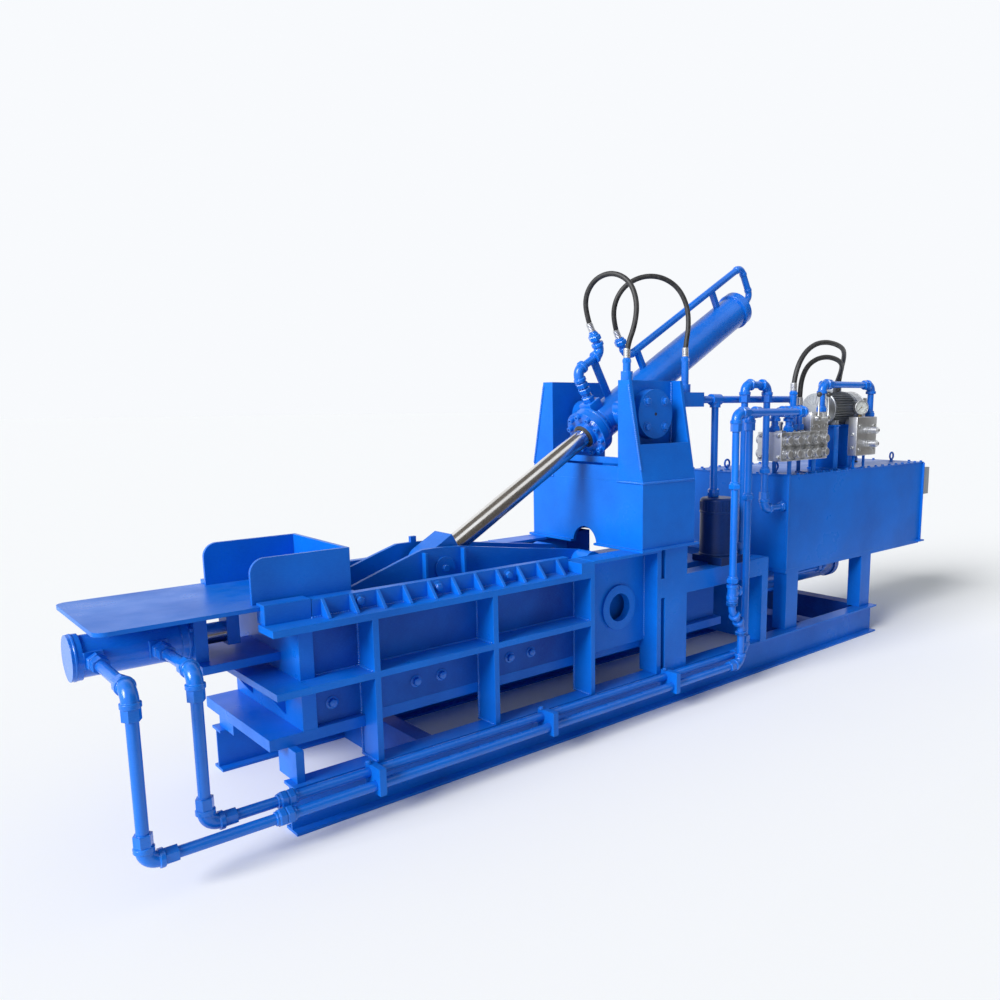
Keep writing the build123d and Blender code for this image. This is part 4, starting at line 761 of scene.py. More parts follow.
# %% [markdown]
# ## The chamber's seams
# The ribs stand on the chamber's walls in a grid, so their seams come from three nested
# loops: both sides, three uprights, and the two faces of each. Where a wall or a beam begins
# is read from the CAD nodes, so the welds stay in the corners.

# %% Seams of the ribs and the walls
UPRIGHT_PITCH = 0.600
UPRIGHT_FACE_X = -0.279
UPRIGHT_THICKNESS = 0.027
MID_RIB_LOW, MID_RIB_HIGH = 0.559, 0.587
TOP_RIB_LOW = 0.805
WALL_FACE = 0.320
RIB_EDGE = 0.448

wall_low, wall_high = low_high("side_wall_near")
BEAM_TOP = low_high("base_beam_near")[1].z
for side in (-1, 1):
    face, edge = side * WALL_FACE, side * RIB_EDGE
    for index in range(3):
        left = UPRIGHT_FACE_X + index * UPRIGHT_PITCH
        for x in (left, left + UPRIGHT_THICKNESS):
            seam((x, face, BEAM_TOP), (x, face, MID_RIB_LOW))
            seam((x, face, MID_RIB_HIGH), (x, face, TOP_RIB_LOW))
            for z in (BEAM_TOP, MID_RIB_LOW, MID_RIB_HIGH, TOP_RIB_LOW):
                seam((x, face, z), (x, edge, z))
    for z in (MID_RIB_HIGH, TOP_RIB_LOW):
        seam((wall_low.x, face, z), (wall_high.x, face, z), THIN_BEAD)
print("seams of the chamber", len(seams))

# %% [markdown]
# ## The seams of the tower and the tank
# The tower carries the cylinder's pull, so its upright seams are the heaviest on the machine.
# The tank is thin sheet and gets a fine bead down its two near corners.

# %% Seams of the tower, the hinge plate and the tank
BAR_FOOT_Y = 0.350
BASE_SIDE_Y = 0.451
COVER_PLATE_Y = 0.287
SIDE_FOOT_Z = 1.26
SIDE_EDGE = 0.021
TANK_CORNER_Y = -0.403
TANK_SEAM_TOP = 1.2
GUSSET_TOP_Y = 0.345
GUSSET_FOOT_Y, GUSSET_FOOT_Z = 0.440, 1.30
FOOT_SEAM_Y = (0.27, 0.449)
FOOT_SEAM_Z = 1.25
HINGE_SEAM_REACH = 0.546
HINGE_FACE_Y = -0.352
HINGE_SEAM_Z = (0.40, 0.86)

bar_low, bar_high = low_high("shear_bar_near")
tower_low, tower_high = low_high("tower_base")
side_low, side_high = low_high("tower_side_near")
hinge_low = low_high("hinge_plate_near")[0]
tank_low, tank_high = low_high("oil_tank")
for side in (-1, 1):
    bar_y, base_y, cover_y = side * BAR_FOOT_Y, side * BASE_SIDE_Y, side * COVER_PLATE_Y
    seam((bar_low.x, bar_y, bar_low.z), (bar_high.x, bar_y, bar_low.z), THIN_BEAD)
    seam((tower_low.x + 0.02, base_y, tower_high.z), (tower_high.x - 0.02, base_y, tower_high.z))
    for x in (side_low.x + SIDE_EDGE, side_high.x - SIDE_EDGE):
        seam((x, cover_y, SIDE_FOOT_Z), (x, cover_y, side_high.z - 0.004), HEAVY_BEAD)
    seam((side_low.x, side * GUSSET_TOP_Y, side_high.z - 0.030),
         (side_low.x, side * GUSSET_FOOT_Y, GUSSET_FOOT_Z))
    seam(*[(side_low.x, side * y, FOOT_SEAM_Z) for y in FOOT_SEAM_Y])
for x in (tank_low.x, tank_high.x):
    seam((x, TANK_CORNER_Y, tank_low.z), (x, TANK_CORNER_Y, TANK_SEAM_TOP), THIN_BEAD)
hinge_x = hinge_low.x + HINGE_SEAM_REACH
seam(*[(hinge_x, HINGE_FACE_Y, z) for z in HINGE_SEAM_Z])
welds = settle(join(seams), "weld_beads", blue_pipe, angle=60)
print("seams", len(seams), "weld faces", len(welds.data.polygons))

# %% [markdown]
# ## Pipe elbows
# The rigid oil pipes are threaded steel tube, and each corner is a forged elbow with two thick
# collars. The elbow's body is a ring spun through a quarter turn; the collars are turned
# pieces at its mouths. One model serves every corner: its X axis is laid along the pipe that
# comes in and its Y axis along the pipe that goes out.

# %% The elbow
BEND = 0.046
ELBOW_RADIUS = 0.0285
COLLAR_RADIUS = 0.0345
SLIM_ELBOW_RADIUS = 0.0211
SLIM_COLLAR_RADIUS = 0.0240
DRAWING_ORIGIN_X = 641.0


def at(x, y, z):
    """A point of the machine's drawing, in millimetres, as a point of the row's frame."""
    return Vector(((x - DRAWING_ORIGIN_X) / 1000, y / 1000, z / 1000))


def collar_model(radius, collar_radius):
    return turned([(0.0, radius), (0.003, collar_radius), (0.018, collar_radius),
                   (0.021, collar_radius - 0.003), (0.0215, 0.0215)], sides=24)


def elbow_model(radius, collar_radius):
    clear_selection()
    bpy.ops.mesh.primitive_circle_add(vertices=24, radius=radius, rotation=(0, PI_HALF, 0),
                                      location=(-BEND, 0, 0))
    body = bpy.context.object
    bpy.ops.object.transform_apply(location=True, rotation=True)
    edit(body)
    bpy.ops.mesh.spin(steps=10, angle=-PI_HALF, center=(-BEND, BEND, 0), axis=(0, 0, 1))
    bpy.ops.mesh.select_all(action="SELECT")
    bpy.ops.mesh.normals_make_consistent(inside=False)
    bpy.ops.object.mode_set(mode="OBJECT")
    collars = []
    for place, direction in (((0.006 - BEND, 0, 0), FRONT), ((0, BEND - 0.006, 0), FAR)):
        collar = collar_model(radius, collar_radius)
        collar.data.transform(facing(place, direction))
        collars.append(collar)
    return join([body] + collars)


elbow = elbow_model(ELBOW_RADIUS, COLLAR_RADIUS)
slim_elbow = elbow_model(SLIM_ELBOW_RADIUS, SLIM_COLLAR_RADIUS)
print("elbow reaches", [round(v, 3) for v in elbow.dimensions])

# %% [markdown]
# ## The routes of the pipes
# Each pipe is a list of its corners in the drawing's millimetres. An elbow belongs wherever
# two runs meet squarely, so its place is found from the runs before and after the corner and
# no elbow is placed by hand.

# %% Pipe routes and their square corners
LOCK_OUTER = [at(*p) for p in (
    (-560, -88, 752), (-560, -532, 752), (-560, -532, 145), (2681, -532, 145), (2681, -532, 372),
    (2592, -532, 474), (2592, -532, 1606), (3290, -532, 1606), (3290, -400, 1606),
    (3290, -400, 1480))]
LOCK_INNER = [at(*p) for p in (
    (-340, -88, 752), (-340, -480, 752), (-340, -480, 185), (2785, -480, 185),
    (2785, -480, 1606), (3215, -480, 1606), (3215, -350, 1606), (3215, -350, 1480))]
TOWER_LINE = [at(*p) for p in ((2534, -300, 1680), (3526, -300, 1680), (3526, -300, 1600))]
ARCH_LINE = [at(*p) for p in (
    (2880, -368, 725), (2880, -368, 1766), (3100, -368, 1766), (3100, -368, 1010),
    (3306, -368, 1010))]
DELIVERY_LINE = [at(*p) for p in (
    (3640, -408, 1600), (3640, -408, 1775), (4250, -408, 1775), (4250, -408, 1560))]
SUCTION_LINE = [at(*p) for p in (
    (3545, -236, 599), (3545, -236, 510), (4022, -236, 510), (4022, -236, 599))]


def corner(point, arrives, leaves):
    across = arrives.cross(leaves).normalized()
    basis = Matrix((arrives, leaves, across)).transposed().to_4x4()
    return Matrix.Translation(point) @ basis


def elbows_of(route):
    """Elbow places at the square corners of a pipe route."""
    places = []
    for before, here, after in zip(route, route[1:], route[2:]):
        arrives = (here - before).normalized()
        leaves = (after - here).normalized()
        if abs(arrives.dot(leaves)) < 0.02:
            places.append(corner(here, arrives, leaves))
    return places


elbow_places = []
for route in (LOCK_OUTER, LOCK_INNER, TOWER_LINE, ARCH_LINE, DELIVERY_LINE, SUCTION_LINE):
    elbow_places += elbows_of(route)
print("elbow places", len(elbow_places))

# %% [markdown]
# ## The riser's sideways step
# The outer riser steps sideways through two slanted corners, which are no square elbows. A
# fitter joins such a step with short collars, so collars alone go over its ends.

# %% Elbows and the collars of the sideways step
STEP_TOP, STEP_FOOT = LOCK_OUTER[5], LOCK_OUTER[4]
COLLAR_GAP = 0.034
COLLAR_REACH = 0.056
SLANT_GAP = 0.030

fall = (STEP_FOOT - STEP_TOP).normalized()
collar_places = [
    facing(STEP_TOP + UP * COLLAR_GAP, UP), facing(STEP_TOP + UP * COLLAR_REACH, -UP),
    facing(STEP_TOP + fall * SLANT_GAP, fall), facing(STEP_FOOT - fall * SLANT_GAP, -fall),
    facing(STEP_FOOT - UP * COLLAR_GAP, -UP), facing(STEP_FOOT - UP * COLLAR_REACH, UP)]
offset_collar = collar_model(0.026, COLLAR_RADIUS)
pipe_elbows = settle(join(copies(elbow, elbow_places) + copies(offset_collar, collar_places)),
                     "pipe_elbows", blue_pipe)
scrap(offset_collar)
print("elbows", len(elbow_places), "collars", len(collar_places))

# %% [markdown]
# ## The tee on the riser
# Above the step a tee has a third mouth, closed by a hexagon plug. Its two straight mouths are
# one turned piece; the side mouth and the plug are turned too, and then laid over along X.

# %% The tee
TEE_PLACE = at(2592, -532, 588)

tee = turned([(-0.044, 0.026), (-0.041, COLLAR_RADIUS), (-0.026, COLLAR_RADIUS),
              (-0.023, 0.029), (0.023, 0.029), (0.026, COLLAR_RADIUS), (0.041, COLLAR_RADIUS),
              (0.044, 0.026)], sides=24)
tee_mouth = turned([(0.0, 0.027), (0.040, 0.027), (0.042, 0.033), (0.056, 0.033),
                    (0.058, 0.030)], sides=24)
tee_plug = turned([(0.056, 0.018), (0.066, 0.018), (0.070, 0.015)], sides=6)
for mouth in (tee_mouth, tee_plug):
    mouth.data.transform(facing((0, 0, 0), REAR))
riser_tee = settle(join([tee, tee_mouth, tee_plug]), "riser_tee", blue_pipe,
                   matrix=Matrix.Translation(TEE_PLACE))
print("tee faces", len(riser_tee.data.polygons))

# %% [markdown]
# ## Hexagon nuts where a pipe meets a block
# At every port the pipe is held by a hexagon union nut over a round shoulder. The nut is a
# turned ring with six sides, chamfered at both ends. Two nuts back to back make the couplings
# where the long pipes pass the front of the base.


# %% Union nuts
def union_nut(across, height, bore):
    radius = across / 2 / cos(pi / 6)
    nut = turned([(0.0, radius * 0.90), (height * 0.14, radius), (height * 0.82, radius),
                  (height * 0.96, radius * 0.90)], sides=6)
    shoulder = turned([(height * 0.9, across * 0.44), (height * 1.25, across * 0.44),
                       (height * 1.35, bore)], sides=24)
    return join([nut, shoulder])


port_nut = union_nut(0.062, 0.030, 0.022)
PORTS = (
    ((-560, -108, 752), NEAR), ((-340, -108, 752), NEAR), ((3290, -400, 1480), UP),
    ((3215, -350, 1480), UP), ((2534, -300, 1680), REAR), ((3526, -300, 1600), UP),
    ((3640, -408, 1600), UP), ((4250, -408, 1560), UP), ((2880, -368, 725), UP),
    ((3306, -368, 1010), FRONT), ((3545, -236, 599), DOWN), ((4022, -236, 599), DOWN),
    ((2690, -300, 1112), UP), ((2592, -532, 640), UP), ((2592, -532, 1180), UP),
    ((2785, -480, 1100), UP), ((3100, -368, 1230), UP), ((-75, -532, 145), REAR),
    ((-75, -532, 145), FRONT), ((-45, -480, 185), REAR), ((-45, -480, 185), FRONT))
nut_places = [facing(at(*point), direction) for point, direction in PORTS]
port_nuts = settle(join(copies(port_nut, nut_places)), "pipe_nuts", blue_pipe)
print("pipe nuts", len(PORTS))

# %% [markdown]
# ## The lid cylinder's gland
# The cylinder is closed by a thick disc with ten socket screws, a raised collar and a black
# wiper ring that cleans the rod. All of it tilts with the barrel, so these pieces are modelled
# up the Z axis and turned into the cylinder's own slope.

# %% Gland screws and wiper
BARREL = "cylinder_barrel"
TRUNNION = at(2137, 0, 1604)
ROD_PIN = at(921, 0, 898)
SLOPE = (TRUNNION - ROD_PIN).normalized()
ABOVE = Vector((-SLOPE.z, 0, SLOPE.x))
GLAND_FACE = -0.220
GLAND_SCREWS = 10
GLAND_CIRCLE = 0.112
WIPER_FACE = -0.2425


def on_cylinder(u, v, y=0.0):
    """A point along the lid cylinder, u along its axis from the trunnion and v above it."""
    return TRUNNION + SLOPE * u + ABOVE * v + Vector((0, y, 0))


def round_gland(u, circle, direction):
    """Ten places on a circle round the cylinder's axis."""
    angles = [radians((index + 0.5) * 360 / GLAND_SCREWS) for index in range(GLAND_SCREWS)]
    return [facing(on_cylinder(u, circle * sin(a), circle * cos(a)), direction) for a in angles]


screw_places = round_gland(GLAND_FACE, GLAND_CIRCLE, -SLOPE)
gland_screws = settle(join(copies(screw_large, screw_places)), "gland_screws", blue_pipe, BARREL)
wiper = turned([(0.0, 0.066), (0.004, 0.066), (0.008, 0.060), (0.011, 0.0525),
                (0.006, 0.0505)], sides=48)
settle(wiper, "rod_wiper", black_plastic, BARREL,
       matrix=facing(on_cylinder(WIPER_FACE, 0), -SLOPE))
print("gland screws", GLAND_SCREWS)

# %% [markdown]
# ## The flange behind the gland and the barrel's weld rings
# The gland's screws pull against a second flange that is welded to the barrel, with a nut
# behind each screw. Two raised rings show where the end cap and the head were welded on. A
# flange is a turned ring, so its outline is a list of stations, as on a lathe.

# %% Rear flange and weld rings
FLANGE_FACE = -0.172
FLANGE_BACK = -0.155
FLANGE_CIRCLE = 0.117
WELD_RINGS = ((1.246, 0.1125), (-0.118, 0.103))

flange = turned([(0.0, 0.098), (0.0, 0.131), (0.003, 0.134), (0.014, 0.134), (0.017, 0.131),
                 (0.017, 0.098)], sides=64)
flange.data.transform(facing(on_cylinder(FLANGE_FACE, 0), SLOPE))
flange_nuts = copies(bolt_small, round_gland(FLANGE_BACK, FLANGE_CIRCLE, SLOPE))
rear_flange = settle(join([flange] + flange_nuts), "gland_rear_flange", blue_pipe, BARREL)
rings = []
for u, radius in WELD_RINGS:
    ring = turned([(0.0, radius - 0.004), (0.003, radius), (0.009, radius),
                   (0.012, radius - 0.004)], sides=48)
    ring.data.transform(facing(on_cylinder(u, 0), SLOPE))
    rings.append(ring)
settle(join(rings), "barrel_weld_rings", blue_pipe, BARREL)
print("flange nuts", len(flange_nuts), "weld rings", len(rings))

# %% [markdown]
# ## The oil lines on the barrel
# Two steel lines ride on the barrel: a short one to the head port and a long one over the top
# to the tail. They use the same elbows as the base, the long one in a slimmer size, and the
# same nuts. The short line stands on a strap welded to the barrel.

# %% Elbows of the barrel's lines
HEAD_PORT_U = -0.111
HEAD_LINE_V = 0.328
HEAD_TIP_U = 0.100
TAIL_TIP_U = 0.263
TAIL_LINE_V = 0.210
TAIL_TURN_U = 1.456
TAIL_PORT_U = 1.300

head_route = [on_cylinder(HEAD_PORT_U, 0.100), on_cylinder(HEAD_PORT_U, HEAD_LINE_V),
              on_cylinder(HEAD_TIP_U, HEAD_LINE_V), on_cylinder(HEAD_TIP_U, 0.455)]
tail_route = [on_cylinder(TAIL_TIP_U, 0.330), on_cylinder(TAIL_TIP_U, TAIL_LINE_V),
              on_cylinder(TAIL_TURN_U, TAIL_LINE_V), on_cylinder(TAIL_TURN_U, 0.0),
              on_cylinder(TAIL_PORT_U, 0.0)]
barrel_elbows = copies(elbow, elbows_of(head_route)) + copies(slim_elbow, elbows_of(tail_route))
print("barrel elbows", len(barrel_elbows))
barrel_elbows = settle(join(barrel_elbows), "barrel_elbows", blue_pipe, BARREL)

# %% Head port, strap and nuts
STRAP_U = 0.030

port_block = block((-0.045, -0.045, 0.0), (0.045, 0.045, 0.060), bevel=0.004)
settle(port_block, "head_port_block", blue_pipe, BARREL,
       matrix=facing(on_cylinder(HEAD_PORT_U, 0.085), ABOVE))
line_strap = block((-0.025, -0.006, 0.098), (0.025, 0.006, 0.312), bevel=0.002)
settle(line_strap, "head_line_strap", blue_pipe, BARREL,
       matrix=corner(on_cylinder(STRAP_U, 0), SLOPE, FAR))
BARREL_NUTS = ((HEAD_PORT_U, 0.145, ABOVE), (HEAD_PORT_U, 0.226, -ABOVE),
               (HEAD_PORT_U, 0.232, ABOVE), (HEAD_TIP_U, 0.405, ABOVE),
               (TAIL_TIP_U, 0.290, ABOVE), (TAIL_PORT_U, 0.0, SLOPE))
nut_places = [facing(on_cylinder(u, v), way) for u, v, way in BARREL_NUTS]
barrel_nuts = settle(join(copies(port_nut, nut_places)), "barrel_nuts", blue_pipe, BARREL)
print("barrel nuts", len(BARREL_NUTS))

# %% [markdown]
# ## Grease ports of the bearings
# Each bearing cover has a small hole in its middle for a grease gun. It is a shallow turned
# ring in black, painted shade for the dark dimple, which is all that an eye sees of it from a
# few metres.

# %% Grease ports
BEARING_COVER_Y = 0.345

port = turned([(-0.002, 0.0085), (0.0008, 0.0085), (0.0012, 0.0075), (0.0004, 0.0060)], sides=24)
grease_ports = copies(port, [facing(TRUNNION + Vector((0, side * BEARING_COVER_Y, 0)),
                                    (0, side, 0)) for side in (-1, 1)])
scrap(port)
print("grease ports", len(grease_ports))
# painted shade: the black ring stands for the dark of the grease hole
settle(join(grease_ports), "bearing_grease_ports_painted_shade", black_plastic)

# %% [markdown]
# ## Hoses
# Oil reaches the tilting cylinder through two hoses that stand up in loops, and two more join
# the valves to the pump. Each is a steel-braided rubber hose of a fixed length. A hose could be
# a row of arcs, but it hangs in one even sweep, so its route is a list of control points and
# one smooth NURBS line runs through the gaps between them. The line is given a round bevel
# and becomes a mesh.

# %% The rubber tube
TOWER_HOSE = 0.028
TANK_HOSE = 0.032


def hose_tube(name, route, diameter):
    """A mesh tube along the route's NURBS line, and that line's points and length."""
    curve = bpy.data.curves.new(name + "_line", "CURVE")
    curve.dimensions = "3D"
    curve.resolution_u = 12
    spline = curve.splines.new("NURBS")
    spline.points.add(len(route) - 1)
    for point, place in zip(spline.points, route):
        point.co = (*place, 1)
    spline.order_u = 3
    spline.use_endpoint_u = True
    line = bpy.data.objects.new(name + "_line", curve)
    bpy.context.scene.collection.objects.link(line)
    path = [vertex.co.copy() for vertex in bpy.data.meshes.new_from_object(line).vertices]
    curve.bevel_depth = diameter / 2
    curve.bevel_resolution = 6
    tube = bpy.data.objects.new(name, bpy.data.meshes.new_from_object(line))
    bpy.context.scene.collection.objects.link(tube)
    bpy.data.objects.remove(line, do_unlink=True)
    length = sum((b - a).length for a, b in zip(path, path[1:]))
    clear_selection()
    tube.select_set(True)
    bpy.context.view_layer.objects.active = tube
    bpy.ops.object.shade_smooth()
    tube.data.materials.clear()
    tube.data.materials.append(rubber)
    return tube, path, length


print("hose diameters", TOWER_HOSE, TANK_HOSE)

# %% [markdown]
# ## Ferrules, and a hose as a whole
# At each end the rubber goes into a steel sleeve that a press has crimped in rings, and a nut
# turns freely behind it. The sleeve is turned, ring after ring, from a growing list of
# stations. The two tower hoses are held by the tower at one end and by the tilting barrel at
# the other, so their ferrules ride on these bodies and their tubes are seated on no body.

# %% Ferrules and hoses
CRIMP_RINGS = 5
CRIMP_PITCH = 0.0085


def ferrule_model(diameter):
    sleeve = diameter / 2 * 1.22
    crimp = diameter / 2 * 1.30
    stations = [(0.0, sleeve * 0.80), (0.002, sleeve)]
    for ring in range(CRIMP_RINGS):
        start = 0.006 + ring * CRIMP_PITCH
        stations += [(start, crimp), (start + 0.0045, crimp), (start + 0.006, sleeve)]
    stations += [(0.052, sleeve), (0.054, diameter / 2 * 0.98)]
    body = turned(stations, sides=32)
    nut = union_nut(diameter * 1.5, 0.020, diameter * 0.6)
    nut.data.transform(Matrix.Translation((0, 0, -0.022)))
    return body, nut


def make_hose(name, route, diameter, bodies, blend_points=None):
    tube, path, length = hose_tube(name + "_tube", route, diameter)
    tips = ((route[0], route[1], bodies[0]), (route[-1], route[-2], bodies[1]))
    for number, (tip, next_point, body) in enumerate(tips):
        sleeve, nut = ferrule_model(diameter)
        place = facing(tip, next_point - tip)
        settle(sleeve, "%s_ferrule_%d" % (name, number), alloy, body, matrix=place)
        settle(nut, "%s_nut_%d" % (name, number), blue_pipe, body, matrix=place)
    if blend_points:
        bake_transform(tube)
    else:
        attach(tube, "frame")
    tuple(path[0])
    [tuple(point) for point in path]
    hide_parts(name)
    print(name, "length", round(length, 3), "points", len(path))
    return tube


# %% [markdown]
# ## The hoses of the tower
# Both stand up from the barrel, lean over in a loop and come down on a post of the tower, so
# that the barrel can tilt without pulling them. Their points are read off the photograph. How
# far the loops lean away from the viewer can't be seen in it, so that is chosen.

# %% Two hoses between the barrel and the tower
HEAD_HOSE = [at(*p) for p in (
    (1995.5, 0, 2048), (1966, 0, 2098), (1945, 9, 2218), (1952, -58, 2314), (1981, -167, 2345),
    (2011, -269, 2295), (2019, -317, 2187), (2009, -313, 2068), (1985, -276, 1952),
    (1985, -276, 1893))]
TAIL_HOSE = [at(*p) for p in (
    (2199, 0, 2021), (2169, 0, 2072), (2143, -9, 2186), (2179, -43, 2291), (2263, -95, 2353),
    (2364, -154, 2360), (2452, -208, 2307), (2495, -245, 2206), (2495, -260, 2089),
    (2465, -262, 1973), (2465, -262, 1915))]
make_hose("hose_head", HEAD_HOSE, TOWER_HOSE, ("cylinder_barrel", "frame"),
          (at(1925, -270, 2000), at(2026, -10, 2050)))
make_hose("hose_tail", TAIL_HOSE, TOWER_HOSE, ("cylinder_barrel", "frame"),
          (at(2400, -255, 2000), at(2400, -10, 2000)))

# %% [markdown]
# ## The hoses over the tank
# Two thicker hoses arch from the valve bank over the motor to the pump. Both ends stand still,
# so the tubes ride on the frame. The hoses differ a little in length, so they make two
# arches, one above the other.

# %% Two hoses between the valves and the pump
OUTER_HOSE = [at(*p) for p in (
    (3368, -375, 1729), (3368, -375, 1786), (3396, -382, 1890), (3462, -390, 1976),
    (3562, -396, 2028), (3680, -394, 2044), (3800, -380, 2040), (3915, -352, 2030),
    (4025, -312, 2018), (4128, -262, 1996), (4218, -206, 1957), (4286, -150, 1896),
    (4324, -112, 1812), (4330, -100, 1740))]
INNER_HOSE = [at(*p) for p in (
    (3438, -375, 1640), (3438, -375, 1696), (3462, -366, 1802), (3526, -362, 1888),
    (3624, -368, 1938), (3740, -370, 1954), (3858, -358, 1946), (3970, -330, 1930),
    (4072, -284, 1906), (4160, -222, 1866), (4222, -158, 1802), (4252, -110, 1716),
    (4255, -100, 1650))]
make_hose("hose_tank_outer", OUTER_HOSE, TANK_HOSE, ("frame", "frame"))
make_hose("hose_tank_inner", INNER_HOSE, TANK_HOSE, ("frame", "frame"))

# %% [markdown]
# ## The motor's barrel
# A finned electric motor drives the pump. The cast barrel is a turned piece, and its cooling
# fins are one thin bevelled block, copied round it. The cowl at the front end guards the fan
# with a ring of slots, which are copied bars. The whole stands in place of the plain CAD solid.

# %% Motor core, fins and the cowl's bars
MOTOR_FRONT = 3802
MOTOR_REAR = 4238
MOTOR_AXIS = (-250, 1616)
FIN_MIDDLE = MOTOR_FRONT + 222
FINS = 40
COWL_BARS = 18


def motor_point(x, y=0.0, z=0.0):
    return at(x, MOTOR_AXIS[0], MOTOR_AXIS[1]) + Vector((0, y, z))


def round_motor(model, x, count, first=0.0):
    """Copies of a model in a full ring round the motor's axis."""
    middle = Matrix.Translation(motor_point(x))
    return copies(model, [middle @ Matrix.Rotation((index + first) * 2 * pi / count, 4, "X")
                          for index in range(count)])


core = turned([(0.0, 0.060), (0.004, 0.104), (0.085, 0.106), (0.088, 0.112), (0.098, 0.112),
               (0.101, 0.098), (0.345, 0.098), (0.348, 0.114), (0.366, 0.116), (0.372, 0.108),
               (0.404, 0.098), (0.436, 0.086)], sides=64)
core.data.transform(facing(motor_point(MOTOR_FRONT), REAR))
fin = block((-0.120, -0.0016, 0.094), (0.120, 0.0016, 0.118), bevel=0.0008, segments=1)
fins = round_motor(fin, FIN_MIDDLE, FINS, first=0.5)
cowl_bar = block((-0.0020, 0.030, -0.0022), (0.0020, 0.090, 0.0022), bevel=0.001, segments=1)
cowl_bars = round_motor(cowl_bar, MOTOR_FRONT, COWL_BARS)
for model in (fin, cowl_bar):
    scrap(model)
print("fins", len(fins), "cowl bars", len(cowl_bars))

# %% [markdown]
# ## The motor's feet and stand
# The motor stands on two welded trestles of plate, bolted to the tank's lid. Each is drawn as
# the shop cuts it: a foot plate, a web, a top plate and two side plates, all plain blocks with
# broken edges. The four cast feet belong to the casing and are joined to it.

# %% Feet and stand
TANK_TOP = 1204
STAND_XS = (MOTOR_FRONT + 110, MOTOR_FRONT + 290)

feet, stands, stand_bolts = [], [], []
for x in STAND_XS:
    for near, far in ((-0.100, -0.060), (0.060, 0.100)):
        feet.append(block(motor_point(x, near, -0.110), motor_point(x + 40, far, -0.075),
                          bevel=0.004))
    for low, high in (((x - 8, -358, TANK_TOP), (x + 48, -142, TANK_TOP + 10)),
                      ((x + 14, -344, 1212), (x + 26, -156, 1512)),
                      ((x - 8, -358, 1498), (x + 48, -142, 1508)),
                      ((x - 6, -350, 1212), (x + 46, -340, 1500)),
                      ((x - 6, -160, 1212), (x + 46, -150, 1500))):
        stands.append(block(at(*low), at(*high), bevel=0.002))
    for y in (-334, -168):
        stand_bolts.append(facing(at(x + 34, y, TANK_TOP + 10), UP))
motor_case = settle(join([core] + fins + cowl_bars + feet), "motor_casing", cast, angle=30)
motor_stand = settle(join(stands + copies(bolt_small, stand_bolts)), "motor_stand", blue)
print("motor faces", len(motor_case.data.polygons), "stand bolts", len(stand_bolts))

# %% [markdown]
# ## The terminal box
# The cable ends in a small cast box on top of the motor. Its lid is a second, wider block with
# a screw in each corner, and the cable's gland is a small hexagon nut in black plastic.

# %% Terminal box and cable gland
LID_TOP = 0.158

terminal = block(motor_point(3935, -0.055, 0.105), motor_point(4045, 0.055, 0.150),
                 bevel=0.006, segments=3)
terminal_lid = block(motor_point(3930, -0.060, 0.148), motor_point(4050, 0.060, LID_TOP),
                     bevel=0.003)
lid_screws = copies(screw_small, [facing(motor_point(x, y, LID_TOP), UP)
                                  for x in (3940, 4040) for y in (-0.050, 0.050)])
settle(join([terminal, terminal_lid] + lid_screws), "motor_terminal_box", cast)
cable_gland = union_nut(0.026, 0.014, 0.006)
settle(cable_gland, "motor_cable_gland", black_plastic,
       matrix=facing(motor_point(3990, -0.055, 0.128), NEAR))
print("lid screws", len(lid_screws))

# %% [markdown]
# ## The bell housing and the gear pump
# A bell housing keeps the pump in line with the motor's shaft. Housing and pump body share one
# axis, so they are turned in one go, and the pump's square middle is a block pushed over it.
# Screws stand in a ring on the flange and in the corners of the pump's end cover.

# %% Bell housing, pump and its bolts
BELL_CIRCLE = 0.105
BELL_SCREWS = 8
COVER_CORNER = 0.05

bell = turned([(0.0, 0.116), (0.012, 0.118), (0.016, 0.118), (0.020, 0.098), (0.075, 0.078),
               (0.080, 0.074), (0.084, 0.074), (0.088, 0.062), (0.150, 0.062), (0.154, 0.072),
               (0.172, 0.072), (0.176, 0.060), (0.214, 0.060), (0.222, 0.052), (0.230, 0.040)],
              sides=48)
bell.data.transform(facing(motor_point(MOTOR_REAR), REAR))
pump_block = block(motor_point(MOTOR_REAR + 92, -0.058, -0.058),
                   motor_point(MOTOR_REAR + 148, 0.058, 0.074), bevel=0.006, segments=3)
bell_bolts = []
for index in range(BELL_SCREWS):
    angle = (index + 0.5) * 2 * pi / BELL_SCREWS
    y, z = BELL_CIRCLE * cos(angle), BELL_CIRCLE * sin(angle)
    bell_bolts.append(facing(motor_point(MOTOR_REAR + 16, y, z), REAR))
for z in (COVER_CORNER, -COVER_CORNER):
    for y in (COVER_CORNER, -COVER_CORNER):
        bell_bolts.append(facing(motor_point(MOTOR_REAR + 172, y, z), REAR))
pump = settle(join([bell, pump_block] + copies(screw_small, bell_bolts)), "pump_and_bell", alloy)
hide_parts("pump_motor")
print("pump screws", len(bell_bolts))

# %% [markdown]
# ## The pressure gauge
# A round gauge stands on the manifold and faces the operator. It has a rolled steel bezel, a
# white dial, a flat glass and a hexagon stem. All are turned pieces on one axis, so one
# matrix seats them all.

# %% Gauge case, dial, glass and stem
TOWARDS = Vector((-0.5, -0.866, 0))
GAUGE = at(4121, -408, 1624) + TOWARDS * 0.016
ON_DIAL = facing(GAUGE, TOWARDS)

